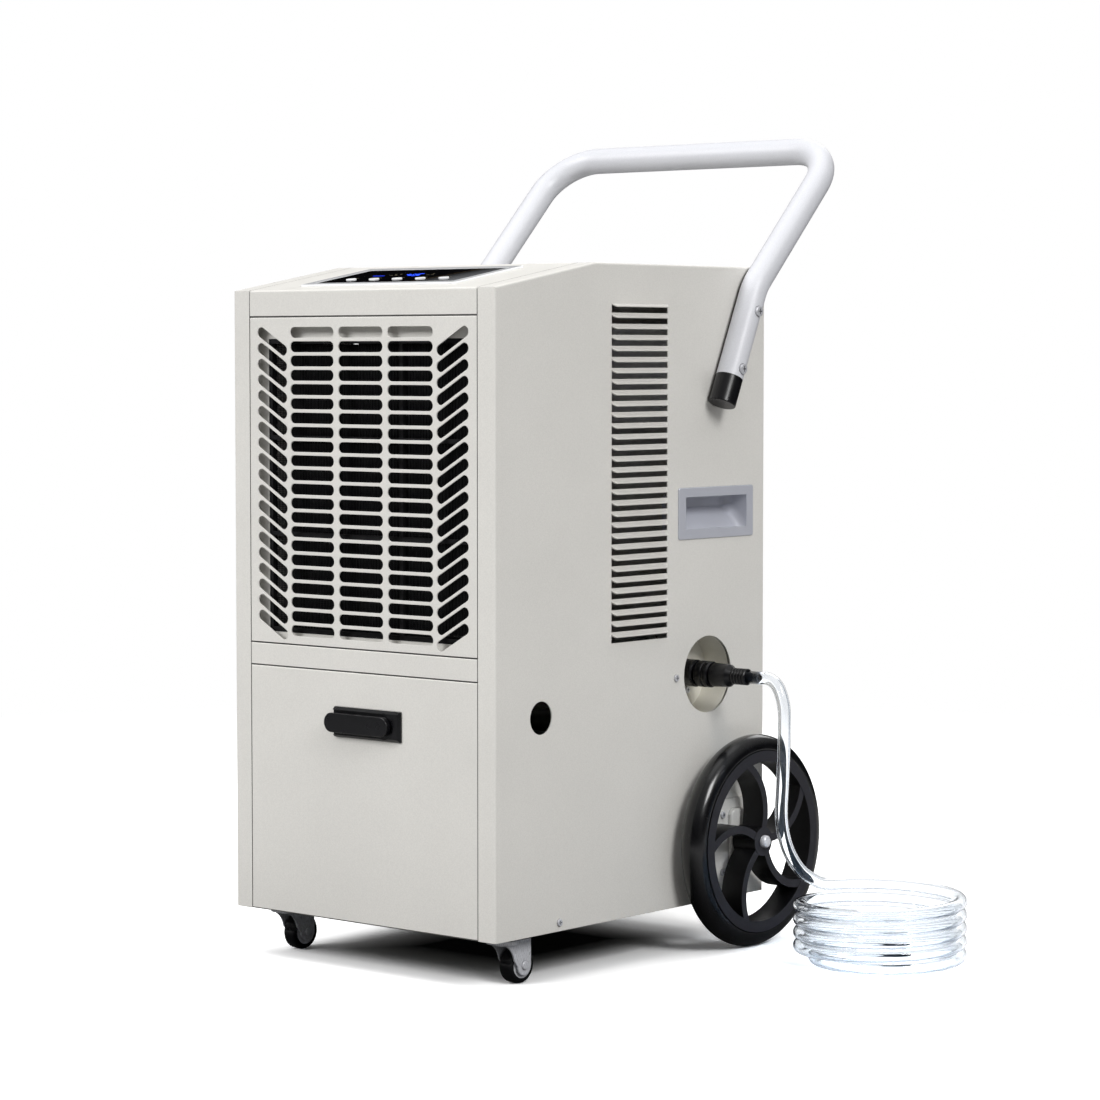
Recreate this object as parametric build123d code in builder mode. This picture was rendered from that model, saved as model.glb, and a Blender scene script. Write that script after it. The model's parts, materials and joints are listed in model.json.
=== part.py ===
from build123d import *
import os
from math import atan2, cos, degrees, radians, sin, sqrt, tan

# Mobile refrigerant dehumidifier for commercial use.
# Millimetres. +Z up, the intake grille faces -Y, and the drain port is on the +X side.
# The origin is on the floor, under the middle of the cabinet.

os.makedirs("parts", exist_ok=True)

# ---------------------------------------------------------------- driving dimensions
CAB_W = 400.0
CAB_D = 486.0
GROUND_GAP = 56.0
FRONT_H = 713.3
REAR_H = 743.0
SLOPE_RUN = 170.4
SHEET = 1.5
POST_W = 25.2
BEND_R = 2.5
GAP = 0.5

X_SIDE = CAB_W / 2
Y_FRONT = -CAB_D / 2
Y_BACK = CAB_D / 2
Z_BASE = GROUND_GAP
Z_FRONT = GROUND_GAP + FRONT_H
Z_TOP = GROUND_GAP + REAR_H
SLOPE = atan2(REAR_H - FRONT_H, SLOPE_RUN)
X_INSIDE = X_SIDE - SHEET
HALF_FRONT = X_SIDE - POST_W - GAP

# Front face, from the floor up: tank drawer, crossbar, grille, header flange of the top cover.
DRAWER_TOP = Z_BASE + 283.3
CROSSBAR_LOW = DRAWER_TOP + 2 * GAP - 0.4
CROSSBAR_H = 25.3
GRILLE_LOW = CROSSBAR_LOW + CROSSBAR_H + 0.7
GRILLE_TOP = Z_BASE + 682.6
HEADER_LOW = GRILLE_TOP + 0.7
GRILLE_DEPTH = 10.0

# Grille slots.
SLOT_H = 12.3
SLOT_L = 68.1
SLOT_ROWS = 22
SLOT_PITCH = 16.15
SLOT_TOP_Z = Z_BASE + 665.3
SLOT_COLUMN_X = 75.25
SLANT_ROWS = 19
SLANT_PITCH = 18.01
SLANT_OUTER_X = 155.4
SLANT_INNER_X = 120.6
SLANT_DROP = 20.1

# Side louvres.
LOUVRES = 31
LOUVRE_PITCH = 12.41
LOUVRE_L = 101.6
LOUVRE_H = 10.2
LOUVRE_TOP_Z = Z_BASE + 697.5
LOUVRE_Y = Y_FRONT + 249.5
FLAP_OUT = 7.0
FLAP_DROP = 2.8
FLAP_T = 1.0

# Side openings.
SIGHT_HOLE_R = 18.5
SIGHT_HOLE_YZ = (Y_FRONT + 76.2, Z_BASE + 240.7)
GRIP_YZ = (Y_FRONT + 391.25, Z_BASE + 456.65)
GRIP_W = 142.5
GRIP_H = 60.0
GRIP_MOUTH_W = 116.2
GRIP_MOUTH_H = 37.9
GRIP_DEPTH = 30.0
GRIP_FLAT = 14.0
GRIP_SILL = 9.0
GRIP_REAR_R = 12.0
PORT_YZ = (Y_FRONT + 377.0, Z_BASE + 267.5)
PORT_R = 45.0
PORT_DEPTH = 40.0
SIDE_SCREWS = [(Y_FRONT + 317.1, Z_BASE + 267.1), (Y_FRONT + 107.3, Z_BASE + 9.8)]
SCREW_HOLE_R = 2.1

# Control panel, measured up the slope from the top front edge.
BEZEL_W = 237.0
BEZEL_L = 120.0
BEZEL_MID = 86.0
BEZEL_H = 2.0
GLASS_W = 213.0
GLASS_L = 96.0
BUTTON_W = 14.0
BUTTON_L = 9.0
BUTTON_PITCH = 35.5
BUTTON_MID = 62.0
BUTTON_TRAVEL = 1.0

# Push handle.
TUBE_R = 16.0
TUBE_WALL = 2.0
HANDLE_X = X_SIDE + TUBE_R + 0.05
HANDLE_END = (Y_FRONT + 395.9, Z_BASE + 613.7)
HANDLE_KNEE = (Y_FRONT + 444.5, Z_BASE + 720.5)
HANDLE_BAR = (Y_FRONT + 608.8, Z_BASE + 886.9)
HANDLE_BEND_R = 60.0
HANDLE_CAP_L = 34.0
HANDLE_SCREWS = [(Y_FRONT + 431.0, Z_BASE + 690.7), (Y_FRONT + 400.6, Z_BASE + 623.6)]

# Rear wheels.
WHEEL_R = 125.0
WHEEL_X = X_SIDE + 27.0
WHEEL_Y = Y_FRONT + 428.0
TYRE_SECTION_R = 16.0
RIM_OUTER_R = 107.0
RIM_INNER_R = 94.0
HUB_R = 17.0
AXLE_R = 6.0
RUNNING_GAP = 0.05
SPOKES = 5

# Casters.
CASTER_X = 167.5
CASTER_PIVOT_Y = Y_FRONT + 50.0
CASTER_TRAIL = 22.0
CASTER_R = 20.5
CASTER_WIDTH = 17.5
CASTER_PIN_R = 3.0
KINGPIN_R = 5.0

# Drawer latch.
LATCH_X = 38.2
LATCH_Z = Z_BASE + 226.5
LATCH_BASE_X = (-39.5, 61.6)
LATCH_BASE_H = 34.2
LATCH_BASE_T = 5.0
LEVER_R = 11.0
LEVER_REACH = 75.0
LEVER_T = 6.0
SHAFT_R = 5.0

# Drain hose.
HOSE_R = 7.5
HOSE_BORE_R = 5.5
COIL_MID = (404.5, Y_FRONT + 436.0)
COIL_R = 92.0
COIL_PITCH = 15.2
COIL_TOP_Z = 78.0


def front_plane(y):
    """Plane across the machine at depth y: local x is +X, local y is +Z, its normal is -Y."""
    return Plane.XZ.offset(-y)


def side_plane(x):
    """Plane along the machine at width x: local x is +Y, local y is +Z, its normal is +X."""
    return Plane.YZ.offset(x)


def slope_plane(height=0.0):
    """Plane of the sloping top, raised by height; local y runs up the slope from the front edge."""
    base = Plane(
        origin=(0, Y_FRONT, Z_FRONT), x_dir=(1, 0, 0), z_dir=(0, -sin(SLOPE), cos(SLOPE))
    )
    return base.offset(height)


def save(builder, name):
    """Label a finished piece and write it to its own file."""
    builder.part.label = name
    export_step(builder.part, f"parts/{name}.step")


def plate(plane, centre, size, thickness, mode=Mode.ADD):
    """Add a rectangular plate on a plane, growing along the plane's normal."""
    with BuildSketch(plane) as outline:
        with Locations(centre):
            Rectangle(*size)
    extrude(outline.sketch, amount=thickness, mode=mode)


def disc(plane, centre, radius, thickness, mode=Mode.ADD):
    """Add a round disc on a plane, growing along the plane's normal."""
    with BuildSketch(plane) as outline:
        with Locations(centre):
            Circle(radius)
    extrude(outline.sketch, amount=thickness, mode=mode)


def cabinet_outline(inset):
    """Side view of the cabinet as (y, z) corners, moved inwards at the front, top and back."""
    drop = inset / cos(SLOPE)
    z_top = Z_TOP - inset
    z_front = Z_FRONT + inset * tan(SLOPE) - drop
    y_knee = Y_FRONT + (z_top - Z_FRONT + drop) / tan(SLOPE)
    return [
        (Y_FRONT + inset, Z_BASE),
        (Y_BACK - inset, Z_BASE),
        (Y_BACK - inset, z_top),
        (y_knee, z_top),
        (Y_FRONT + inset, z_front),
    ]


def side_prism(x_low, x_high, inset, mode=Mode.ADD):
    """Fill the cabinet's side view between two widths."""
    with BuildSketch(side_plane(x_low)) as outline:
        with BuildLine():
            Polyline(*cabinet_outline(inset), close=True)
        make_face()
    extrude(outline.sketch, amount=x_high - x_low, mode=mode)


# ---------------------------------------------------------------- cabinet sheet metal
def louvre_flaps():
    """The bent-out flaps of one side, hinged at the top of their openings, with slanted rear ends."""
    with BuildPart() as flaps:
        with BuildSketch(front_plane(LOUVRE_Y - LOUVRE_L / 2)):
            for row in range(LOUVRES):
                z = LOUVRE_TOP_Z - row * LOUVRE_PITCH
                with BuildLine():
                    Polyline(
                        (X_INSIDE, z + 0.6),
                        (X_SIDE, z + 0.6),
                        (X_SIDE, z),
                        (X_SIDE + FLAP_OUT, z - FLAP_DROP),
                        (X_SIDE + FLAP_OUT - 0.5, z - FLAP_DROP - FLAP_T),
                        (X_INSIDE, z - FLAP_T),
                        close=True,
                    )
                make_face()
        extrude(amount=-LOUVRE_L)
        lips = flaps.edges().filter_by_position(Axis.X, X_SIDE + FLAP_OUT - 0.6, X_SIDE + FLAP_OUT + 0.1)
        fillet(lips.filter_by(Axis.Y, reverse=True), 2.5)
        rear_end = LOUVRE_Y + LOUVRE_L / 2
        with BuildSketch(Plane.XY.offset(LOUVRE_TOP_Z - LOUVRES * LOUVRE_PITCH)):
            with BuildLine():
                Polyline(
                    (X_SIDE, rear_end),
                    (X_SIDE + FLAP_OUT + 1, rear_end - FLAP_OUT - 1),
                    (X_SIDE + FLAP_OUT + 1, rear_end + 1),
                    (X_SIDE, rear_end + 1),
                    close=True,
                )
            make_face()
        extrude(amount=(LOUVRES + 1) * LOUVRE_PITCH, mode=Mode.SUBTRACT)
    return flaps.part


def cabinet_side(has_drain_port):
    """The +X side: web, front post, top flange and rear flange folded from one sheet."""
    with BuildPart() as panel:
        side_prism(X_SIDE - POST_W, X_SIDE, 0)
        bends = panel.faces().sort_by(Axis.X)[-1].edges().sort_by(Axis.Z)[1:]
        fillet(bends, BEND_R)
        side_prism(X_SIDE - POST_W, X_INSIDE, SHEET, Mode.SUBTRACT)
        with BuildSketch(side_plane(X_INSIDE)):
            for row in range(LOUVRES):
                with Locations((LOUVRE_Y, LOUVRE_TOP_Z - row * LOUVRE_PITCH - LOUVRE_H / 2)):
                    Rectangle(LOUVRE_L, LOUVRE_H)
            with Locations(GRIP_YZ):
                Rectangle(GRIP_MOUTH_W + 8, GRIP_MOUTH_H + 8)
            with Locations(SIGHT_HOLE_YZ):
                Circle(SIGHT_HOLE_R)
            with Locations(*SIDE_SCREWS):
                Circle(SCREW_HOLE_R)
            with Locations(*HANDLE_SCREWS):
                Circle(3.2)
            if has_drain_port:
                with Locations(PORT_YZ):
                    Circle(PORT_R)
        extrude(amount=SHEET, mode=Mode.SUBTRACT)
        add(louvre_flaps())
    return panel.part


with BuildPart() as side_panel_right:
    add(cabinet_side(True))
save(side_panel_right, "side_panel_right")

with BuildPart() as side_panel_left:
    mirror(cabinet_side(False), about=Plane.YZ)
save(side_panel_left, "side_panel_left")

# Top cover: slope and flat between the side flanges, with the header flange folded down in front.
HEADER_H = Z_FRONT - HEADER_LOW
with BuildPart() as top_cover:
    side_prism(-HALF_FRONT, HALF_FRONT, 0)
    fillet(top_cover.edges().filter_by(Axis.X).sort_by_distance((0, Y_FRONT, Z_FRONT))[0], BEND_R)
    side_prism(-HALF_FRONT, HALF_FRONT, SHEET, Mode.SUBTRACT)
    plate(Plane.XY.offset(Z_BASE - 1), (0, 0), (CAB_W, CAB_D + 2), HEADER_LOW - Z_BASE + 1, Mode.SUBTRACT)
    plate(front_plane(Y_BACK - SHEET), (0, Z_BASE), (CAB_W, 2 * (REAR_H - SHEET)), -2 * SHEET, Mode.SUBTRACT)
    plate(slope_plane(-5), (0, BEZEL_MID), (BEZEL_W - 16, BEZEL_L - 16), 12, Mode.SUBTRACT)
    with BuildSketch(front_plane(Y_FRONT + 6)):
        with Locations((HALF_FRONT, Z_FRONT), (-HALF_FRONT, Z_FRONT)):
            Circle(1.6)
    extrude(amount=12, mode=Mode.SUBTRACT)
save(top_cover, "top_cover")

# Crossbar between drawer and grille: a shallow channel with a deep top flange.
HEM = 5.0
with BuildPart() as crossbar_strip:
    mid = (0, CROSSBAR_LOW + CROSSBAR_H / 2)
    plate(front_plane(Y_FRONT), mid, (2 * HALF_FRONT, CROSSBAR_H), -SHEET)
    plate(Plane.XY.offset(CROSSBAR_LOW), (0, Y_FRONT + HEM / 2), (2 * HALF_FRONT, HEM), SHEET)
    top_depth = 22.0
    top_z = CROSSBAR_LOW + CROSSBAR_H - SHEET
    plate(Plane.XY.offset(top_z), (0, Y_FRONT + top_depth / 2), (2 * HALF_FRONT, top_depth), SHEET)
    fillet(crossbar_strip.edges().filter_by(Axis.X).group_by(Axis.Y)[0], 0.9)
save(crossbar_strip, "crossbar_strip")

# Base tray: the floor of the cabinet, with side flanges and two guides for the tank drawer.
TRAY_FLANGE = 24.0
GUIDE_X = 166.0
with BuildPart() as base_tray:
    tray_w = 2 * X_INSIDE - 0.4
    tray_d = CAB_D - 2 * SHEET - 0.4
    plate(Plane.XY.offset(Z_BASE), (0, 0), (tray_w, tray_d), SHEET)
    for s in (-1, 1):
        plate(Plane.XY.offset(Z_BASE), (s * (tray_w / 2 - SHEET / 2), 0), (SHEET, tray_d), TRAY_FLANGE)
        plate(Plane.XY.offset(Z_BASE), (s * GUIDE_X, -100), (SHEET, 250), TRAY_FLANGE)
    plate(Plane.XY.offset(Z_BASE), (0, tray_d / 2 - SHEET / 2), (tray_w, SHEET), TRAY_FLANGE)
    with BuildSketch(side_plane(-X_SIDE)):
        with Locations(SIDE_SCREWS[1]):
            Circle(SCREW_HOLE_R)
    extrude(amount=CAB_W, mode=Mode.SUBTRACT)
    with BuildSketch(Plane.XY.offset(Z_BASE)):
        with Locations((-60, 150)):
            with GridLocations(110, 90, 2, 2):
                Circle(3.2)
    extrude(amount=SHEET, mode=Mode.SUBTRACT)
save(base_tray, "base_tray")

# Shelf between the tank bay and the coil bay, hung from the side panels.
SHELF_Z = Z_BASE + 286.0
SHELF_BACK = Y_FRONT + 325.0
DRIP_SPOUT = (-100.0, -165.0)
SPOUT_R = 7.0
with BuildPart() as shelf:
    shelf_w = 2 * X_INSIDE - 0.6
    shelf_front = Y_FRONT + 27.0
    shelf_mid = (shelf_front + SHELF_BACK) / 2
    shelf_d = SHELF_BACK - shelf_front
    plate(Plane.XY.offset(SHELF_Z), (0, shelf_mid), (shelf_w, shelf_d), SHEET)
    for s in (-1, 1):
        edge = (s * (shelf_w / 2 - SHEET / 2), shelf_mid)
        plate(Plane.XY.offset(SHELF_Z - TRAY_FLANGE), edge, (SHEET, shelf_d), TRAY_FLANGE)
    with BuildSketch(side_plane(-X_SIDE)):
        with Locations(SIDE_SCREWS[0]):
            Circle(SCREW_HOLE_R)
    extrude(amount=CAB_W, mode=Mode.SUBTRACT)
    disc(Plane.XY.offset(SHELF_Z), DRIP_SPOUT, SPOUT_R + 1, SHEET, Mode.SUBTRACT)
save(shelf, "shelf")

# Rear panel with folded edges, set between the rear flanges of the sides.
REAR_TOP = Z_TOP - SHEET - 0.4
REAR_LOW = Z_BASE + GAP
GLAND_XZ = (-118.0, Z_BASE + 62.0)
HOOK_X = 0.0
HOOK_Z = (Z_BASE + 420.0, Z_BASE + 600.0)
CORD_R = 4.0
REAR_SCREWS = [(s * 160.0, z) for s in (-1, 1) for z in (Z_BASE + 120, Z_BASE + 370, Z_BASE + 640)]
with BuildPart() as rear_panel:
    rear_h = REAR_TOP - REAR_LOW
    rear_mid = (0, (REAR_TOP + REAR_LOW) / 2)
    plate(front_plane(Y_BACK), rear_mid, (2 * HALF_FRONT, rear_h), SHEET)
    for s in (-1, 1):
        fold = (s * (HALF_FRONT - SHEET / 2), rear_mid[1])
        plate(front_plane(Y_BACK), fold, (SHEET, rear_h - 60), 12)
    fillet(rear_panel.edges().filter_by(Axis.Z).group_by(Axis.Y)[-1], 0.9)
    with BuildSketch(front_plane(Y_BACK)):
        with Locations(GLAND_XZ):
            Circle(CORD_R + 0.1)
        with Locations(*[(HOOK_X, z) for z in HOOK_Z]):
            Circle(SCREW_HOLE_R)
        with Locations(*REAR_SCREWS):
            Circle(SCREW_HOLE_R)
    extrude(amount=SHEET, mode=Mode.SUBTRACT)
save(rear_panel, "rear_panel")

# ---------------------------------------------------------------- intake
with BuildPart() as intake_grille:
    grille_mid = (0, (GRILLE_LOW + GRILLE_TOP) / 2)
    grille_size = (2 * HALF_FRONT, GRILLE_TOP - GRILLE_LOW)
    plate(front_plane(Y_FRONT), grille_mid, grille_size, -GRILLE_DEPTH)
    fillet(intake_grille.edges().group_by(Axis.Y)[0], 1.2)
    inner_size = (grille_size[0] - 2 * SHEET, grille_size[1] - 2 * SHEET)
    plate(front_plane(Y_FRONT + SHEET), grille_mid, inner_size, -GRILLE_DEPTH, Mode.SUBTRACT)
    with BuildSketch(front_plane(Y_FRONT)):
        for row in range(SLOT_ROWS):
            z = SLOT_TOP_Z - row * SLOT_PITCH
            with Locations((-SLOT_COLUMN_X, z), (0, z), (SLOT_COLUMN_X, z)):
                SlotOverall(SLOT_L, SLOT_H)
        for row in range(SLANT_ROWS):
            z = SLOT_TOP_Z - row * SLANT_PITCH
            for s in (-1, 1):
                run = SLANT_OUTER_X - SLANT_INNER_X
                tilt = s * degrees(atan2(SLANT_DROP, run))
                middle = (s * (SLANT_OUTER_X + SLANT_INNER_X) / 2, z - SLANT_DROP / 2)
                with Locations(middle):
                    SlotCenterToCenter(sqrt(run**2 + SLANT_DROP**2), SLOT_H, rotation=tilt)
    extrude(amount=-SHEET, mode=Mode.SUBTRACT)
save(intake_grille, "intake_grille")

# Coil frame: painted plate behind the grille, with the air opening that holds the filter.
FRAME_Y = Y_FRONT + 12.0
FRAME_TOP = Z_BASE + 700.0
WING_X = 171.0
WING_DEPTH = 105.0
OPENING_X = 155.3
OPENING_Z = (Z_BASE + 322.2, Z_BASE + 658.2)
OPENING_MID = (0, (OPENING_Z[0] + OPENING_Z[1]) / 2)
OPENING_SIZE = (2 * OPENING_X, OPENING_Z[1] - OPENING_Z[0])
with BuildPart() as coil_frame:
    frame_low = CROSSBAR_LOW + CROSSBAR_H + 0.3
    frame_mid = (0, (frame_low + FRAME_TOP) / 2)
    plate(front_plane(FRAME_Y), frame_mid, (2 * X_INSIDE - 0.6, FRAME_TOP - frame_low), -SHEET)
    plate(front_plane(FRAME_Y), OPENING_MID, OPENING_SIZE, -SHEET, Mode.SUBTRACT)
    for s in (-1, 1):
        wing = (s * WING_X, OPENING_MID[1])
        plate(front_plane(FRAME_Y), wing, (SHEET, OPENING_SIZE[1]), -WING_DEPTH)
save(coil_frame, "coil_frame")

FILTER_DEPTH = 7.0
FILTER_BORDER = 5.0
with BuildPart() as air_filter:
    outer = (OPENING_SIZE[0] - 1.0, OPENING_SIZE[1] - 1.0)
    window = ((outer[0] - 4 * FILTER_BORDER) / 3, (outer[1] - 4 * FILTER_BORDER) / 3)
    plate(front_plane(FRAME_Y), OPENING_MID, outer, -FILTER_DEPTH)
    with BuildSketch(front_plane(FRAME_Y)):
        with Locations(OPENING_MID):
            with GridLocations(window[0] + FILTER_BORDER, window[1] + FILTER_BORDER, 3, 3):
                Rectangle(*window)
    extrude(amount=-FILTER_DEPTH, mode=Mode.SUBTRACT)
    plate(front_plane(FRAME_Y + FILTER_DEPTH - 1.0), OPENING_MID, outer, -0.6)
save(air_filter, "air_filter")

# ---------------------------------------------------------------- coils
TUBE_OD_R = 3.6
TUBE_ROWS = 20
TUBE_PITCH = SLOT_PITCH
TUBE_TOP_Z = OPENING_MID[1] + TUBE_PITCH * (TUBE_ROWS - 1) / 2
FIN_X = 148.0
EVAPORATOR_Y = Y_FRONT + 57.0
EVAPORATOR_COLUMNS = (EVAPORATOR_Y - 9.0, EVAPORATOR_Y + 9.0)
CONDENSER_Y = Y_FRONT + 100.0
FIN_DEPTH = 36.0
CONDENSER_DEPTH = 22.0
FIN_GROOVES = 60


def fin_block(y_mid, depth, columns):
    """Finned block bored for its tubes, with shallow grooves between the fins on both faces."""
    with BuildPart() as block:
        plate(front_plane(y_mid - depth / 2), OPENING_MID, (2 * FIN_X, TUBE_ROWS * TUBE_PITCH), -depth)
        pitch = 2 * (FIN_X - 4) / FIN_GROOVES
        for y in (y_mid - depth / 2, y_mid + depth / 2 - 2):
            with BuildSketch(front_plane(y)):
                with Locations(OPENING_MID):
                    with GridLocations(pitch, 1, FIN_GROOVES, 1):
                        Rectangle(pitch * 0.6, TUBE_ROWS * TUBE_PITCH)
            extrude(amount=-2, mode=Mode.SUBTRACT)
        with BuildSketch(side_plane(-FIN_X)):
            for y in columns:
                with Locations((y, OPENING_MID[1])):
                    with GridLocations(1, TUBE_PITCH, 1, TUBE_ROWS):
                        Circle(TUBE_OD_R)
        extrude(amount=2 * FIN_X, mode=Mode.SUBTRACT)
    return block.part


def serpentine(y):
    """One tube that runs back and forth across the coil, joined by return bends at the ends."""
    with BuildPart() as tube:
        with BuildLine() as path:
            turn = FIN_X + 2.0
            for row in range(TUBE_ROWS):
                z = TUBE_TOP_Z - row * TUBE_PITCH
                start, stop = (-turn, turn) if row % 2 == 0 else (turn, -turn)
                Line((start, y, z), (stop, y, z))
                if row < TUBE_ROWS - 1:
                    bulge = stop + TUBE_PITCH / 2 * (1 if stop > 0 else -1)
                    ThreePointArc(
                        (stop, y, z), (bulge, y, z - TUBE_PITCH / 2), (stop, y, z - TUBE_PITCH)
                    )
        with BuildSketch(Plane(origin=(-turn, y, TUBE_TOP_Z), z_dir=(1, 0, 0))):
            Circle(TUBE_OD_R)
        sweep(path=path.wires()[0])
    return tube.part


with BuildPart() as evaporator_fins:
    add(fin_block(EVAPORATOR_Y, FIN_DEPTH, EVAPORATOR_COLUMNS))
save(evaporator_fins, "evaporator_fins")

with BuildPart() as condenser_fins:
    add(fin_block(CONDENSER_Y, CONDENSER_DEPTH, (CONDENSER_Y,)))
save(condenser_fins, "condenser_fins")

with BuildPart() as coil_tubes:
    for column_y in (*EVAPORATOR_COLUMNS, CONDENSER_Y):
        add(serpentine(column_y))
save(coil_tubes, "coil_tubes")

# Drip tray under both coils, with a spout into the tank and a nozzle for the drain tube.
TRAY_Z = SHELF_Z + SHEET + 14.0
TRAY_TOP = OPENING_Z[0] - 3.0
TRAY_X = 164.0
TRAY_Y = (Y_FRONT + 36.0, Y_FRONT + 118.0)
NOZZLE_X = 120.0
NOZZLE_Z = TRAY_Z + 8.0
NOZZLE_R = 5.0
with BuildPart() as drip_tray:
    tray_mid = (0, (TRAY_Y[0] + TRAY_Y[1]) / 2)
    tray_size = (2 * TRAY_X, TRAY_Y[1] - TRAY_Y[0])
    tray_h = TRAY_TOP - TRAY_Z
    plate(Plane.XY.offset(TRAY_Z), tray_mid, tray_size, tray_h)
    hollow = (tray_size[0] - 4, tray_size[1] - 4)
    plate(Plane.XY.offset(TRAY_Z + 2), tray_mid, hollow, tray_h, Mode.SUBTRACT)
    disc(Plane.XY.offset(SHELF_Z - 12), DRIP_SPOUT, SPOUT_R, TRAY_Z - SHELF_Z + 13)
    disc(Plane.XY.offset(SHELF_Z - 12), DRIP_SPOUT, SPOUT_R - 2, TRAY_Z - SHELF_Z + 16, Mode.SUBTRACT)
    disc(front_plane(TRAY_Y[1] + 14), (NOZZLE_X, NOZZLE_Z), NOZZLE_R, 15)
    disc(front_plane(TRAY_Y[1] + 14), (NOZZLE_X, NOZZLE_Z), NOZZLE_R - 1.5, 20, Mode.SUBTRACT)
save(drip_tray, "drip_tray")

# Drain tube from the drip tray to the socket in the side recess.
SOCKET_BACK_X = X_SIDE - PORT_DEPTH - SHEET
with BuildPart() as drain_tube:
    with BuildLine() as route:
        FilletPolyline(
            (NOZZLE_X, TRAY_Y[1] + 1, NOZZLE_Z),
            (NOZZLE_X, PORT_YZ[0], NOZZLE_Z),
            (NOZZLE_X, PORT_YZ[0], PORT_YZ[1]),
            (SOCKET_BACK_X - 14, PORT_YZ[0], PORT_YZ[1]),
            radius=16,
        )
    with BuildSketch(Plane(origin=route.line @ 0, z_dir=route.line % 0)):
        Circle(NOZZLE_R + 2)
        Circle(NOZZLE_R, mode=Mode.SUBTRACT)
    sweep(path=route.wires()[0])
save(drain_tube, "drain_tube")

# ---------------------------------------------------------------- refrigeration
COMPRESSOR_XY = (-60.0, 150.0)
COMPRESSOR_R = 60.0
COMPRESSOR_Z = (Z_BASE + SHEET + 12.0, Z_BASE + 205.0)
with BuildPart() as compressor:
    disc(Plane.XY.offset(COMPRESSOR_Z[0]), COMPRESSOR_XY, COMPRESSOR_R, COMPRESSOR_Z[1] - COMPRESSOR_Z[0])
    fillet(compressor.edges().group_by(Axis.Z)[-1], 28)
    fillet(compressor.edges().group_by(Axis.Z)[0], 18)
    disc(Plane.XY.offset(Z_BASE + 110), COMPRESSOR_XY, COMPRESSOR_R + 2, 5)
    with BuildSketch(Plane.XY.offset(Z_BASE + SHEET + 8)):
        with Locations(COMPRESSOR_XY):
            RectangleRounded(132, 112, 12)
    extrude(amount=5)
    with BuildSketch(Plane.XY.offset(Z_BASE + SHEET)):
        with Locations(COMPRESSOR_XY):
            with GridLocations(110, 90, 2, 2):
                Circle(9)
    extrude(amount=8)
    with BuildSketch(Plane.XY.offset(Z_BASE + SHEET)):
        with Locations(COMPRESSOR_XY):
            with GridLocations(110, 90, 2, 2):
                Circle(3)
    extrude(amount=14, mode=Mode.SUBTRACT)
    disc(Plane.XY.offset(COMPRESSOR_Z[1] - 4), (COMPRESSOR_XY[0] + 18, COMPRESSOR_XY[1]), 4.5, 16)
    accumulator = (COMPRESSOR_XY[0] + 92, COMPRESSOR_XY[1])
    disc(Plane.XY.offset(Z_BASE + 70), accumulator, 24, 120)
    fillet(compressor.edges().filter_by(GeomType.CIRCLE).filter_by(lambda e: abs(e.radius - 24) < 0.1), 10)
    plate(Plane.XY.offset(Z_BASE + 120), (COMPRESSOR_XY[0] + 66, COMPRESSOR_XY[1]), (24, 14), 12)
save(compressor, "compressor")

LINE_X = -184.0
with BuildPart() as refrigerant_lines:
    discharge_top = COMPRESSOR_Z[1] + 12
    runs = [
        (
            4.0,
            [
                (COMPRESSOR_XY[0] + 18, COMPRESSOR_XY[1], discharge_top),
                (COMPRESSOR_XY[0] + 18, COMPRESSOR_XY[1], Z_BASE + 370),
                (LINE_X, COMPRESSOR_XY[1], Z_BASE + 370),
                (LINE_X, CONDENSER_Y + 30, Z_BASE + 370),
                (LINE_X, CONDENSER_Y + 30, Z_BASE + 500),
            ],
        ),
        (
            5.5,
            [
                (COMPRESSOR_XY[0] + 92, COMPRESSOR_XY[1], Z_BASE + 190),
                (COMPRESSOR_XY[0] + 92, COMPRESSOR_XY[1], Z_BASE + 330),
                (COMPRESSOR_XY[0] + 92, COMPRESSOR_XY[1] - 50, Z_BASE + 330),
                (LINE_X, COMPRESSOR_XY[1] - 50, Z_BASE + 330),
                (LINE_X, CONDENSER_Y + 50, Z_BASE + 330),
                (LINE_X, CONDENSER_Y + 50, Z_BASE + 440),
            ],
        ),
    ]
    for radius, points in runs:
        with BuildLine() as route:
            FilletPolyline(*points, radius=18)
        with BuildSketch(Plane(origin=route.line @ 0, z_dir=route.line % 0)):
            Circle(radius)
        sweep(path=route.wires()[0])
save(refrigerant_lines, "refrigerant_lines")

# ---------------------------------------------------------------- fan
FAN_Z = Z_BASE + 500.0
FAN_R = 128.0
SHROUD_Y = Y_FRONT + 165.0
ROTOR_Y = (SHROUD_Y + 6.0, SHROUD_Y + 38.0)
SPIDER_Y = SHROUD_Y + 44.0
with BuildPart() as fan_shroud:
    plate(front_plane(SHROUD_Y), (0, FAN_Z + 10), (318, 340), -SHEET)
    disc(front_plane(SHROUD_Y), (0, FAN_Z), FAN_R + 10, -(SPIDER_Y + 4 - SHROUD_Y))
    disc(front_plane(SHROUD_Y), (0, FAN_Z), FAN_R + 7, -(SPIDER_Y + 4 - SHROUD_Y), Mode.SUBTRACT)
    disc(front_plane(SPIDER_Y), (0, FAN_Z), 46, -4)
    with BuildSketch(front_plane(SPIDER_Y)):
        with Locations((0, FAN_Z)):
            with PolarLocations(90, 4, start_angle=45):
                Rectangle(94, 10)
    extrude(amount=-4)
    disc(front_plane(SPIDER_Y), (0, FAN_Z), 12, -4, Mode.SUBTRACT)
save(fan_shroud, "fan_shroud")

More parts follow.
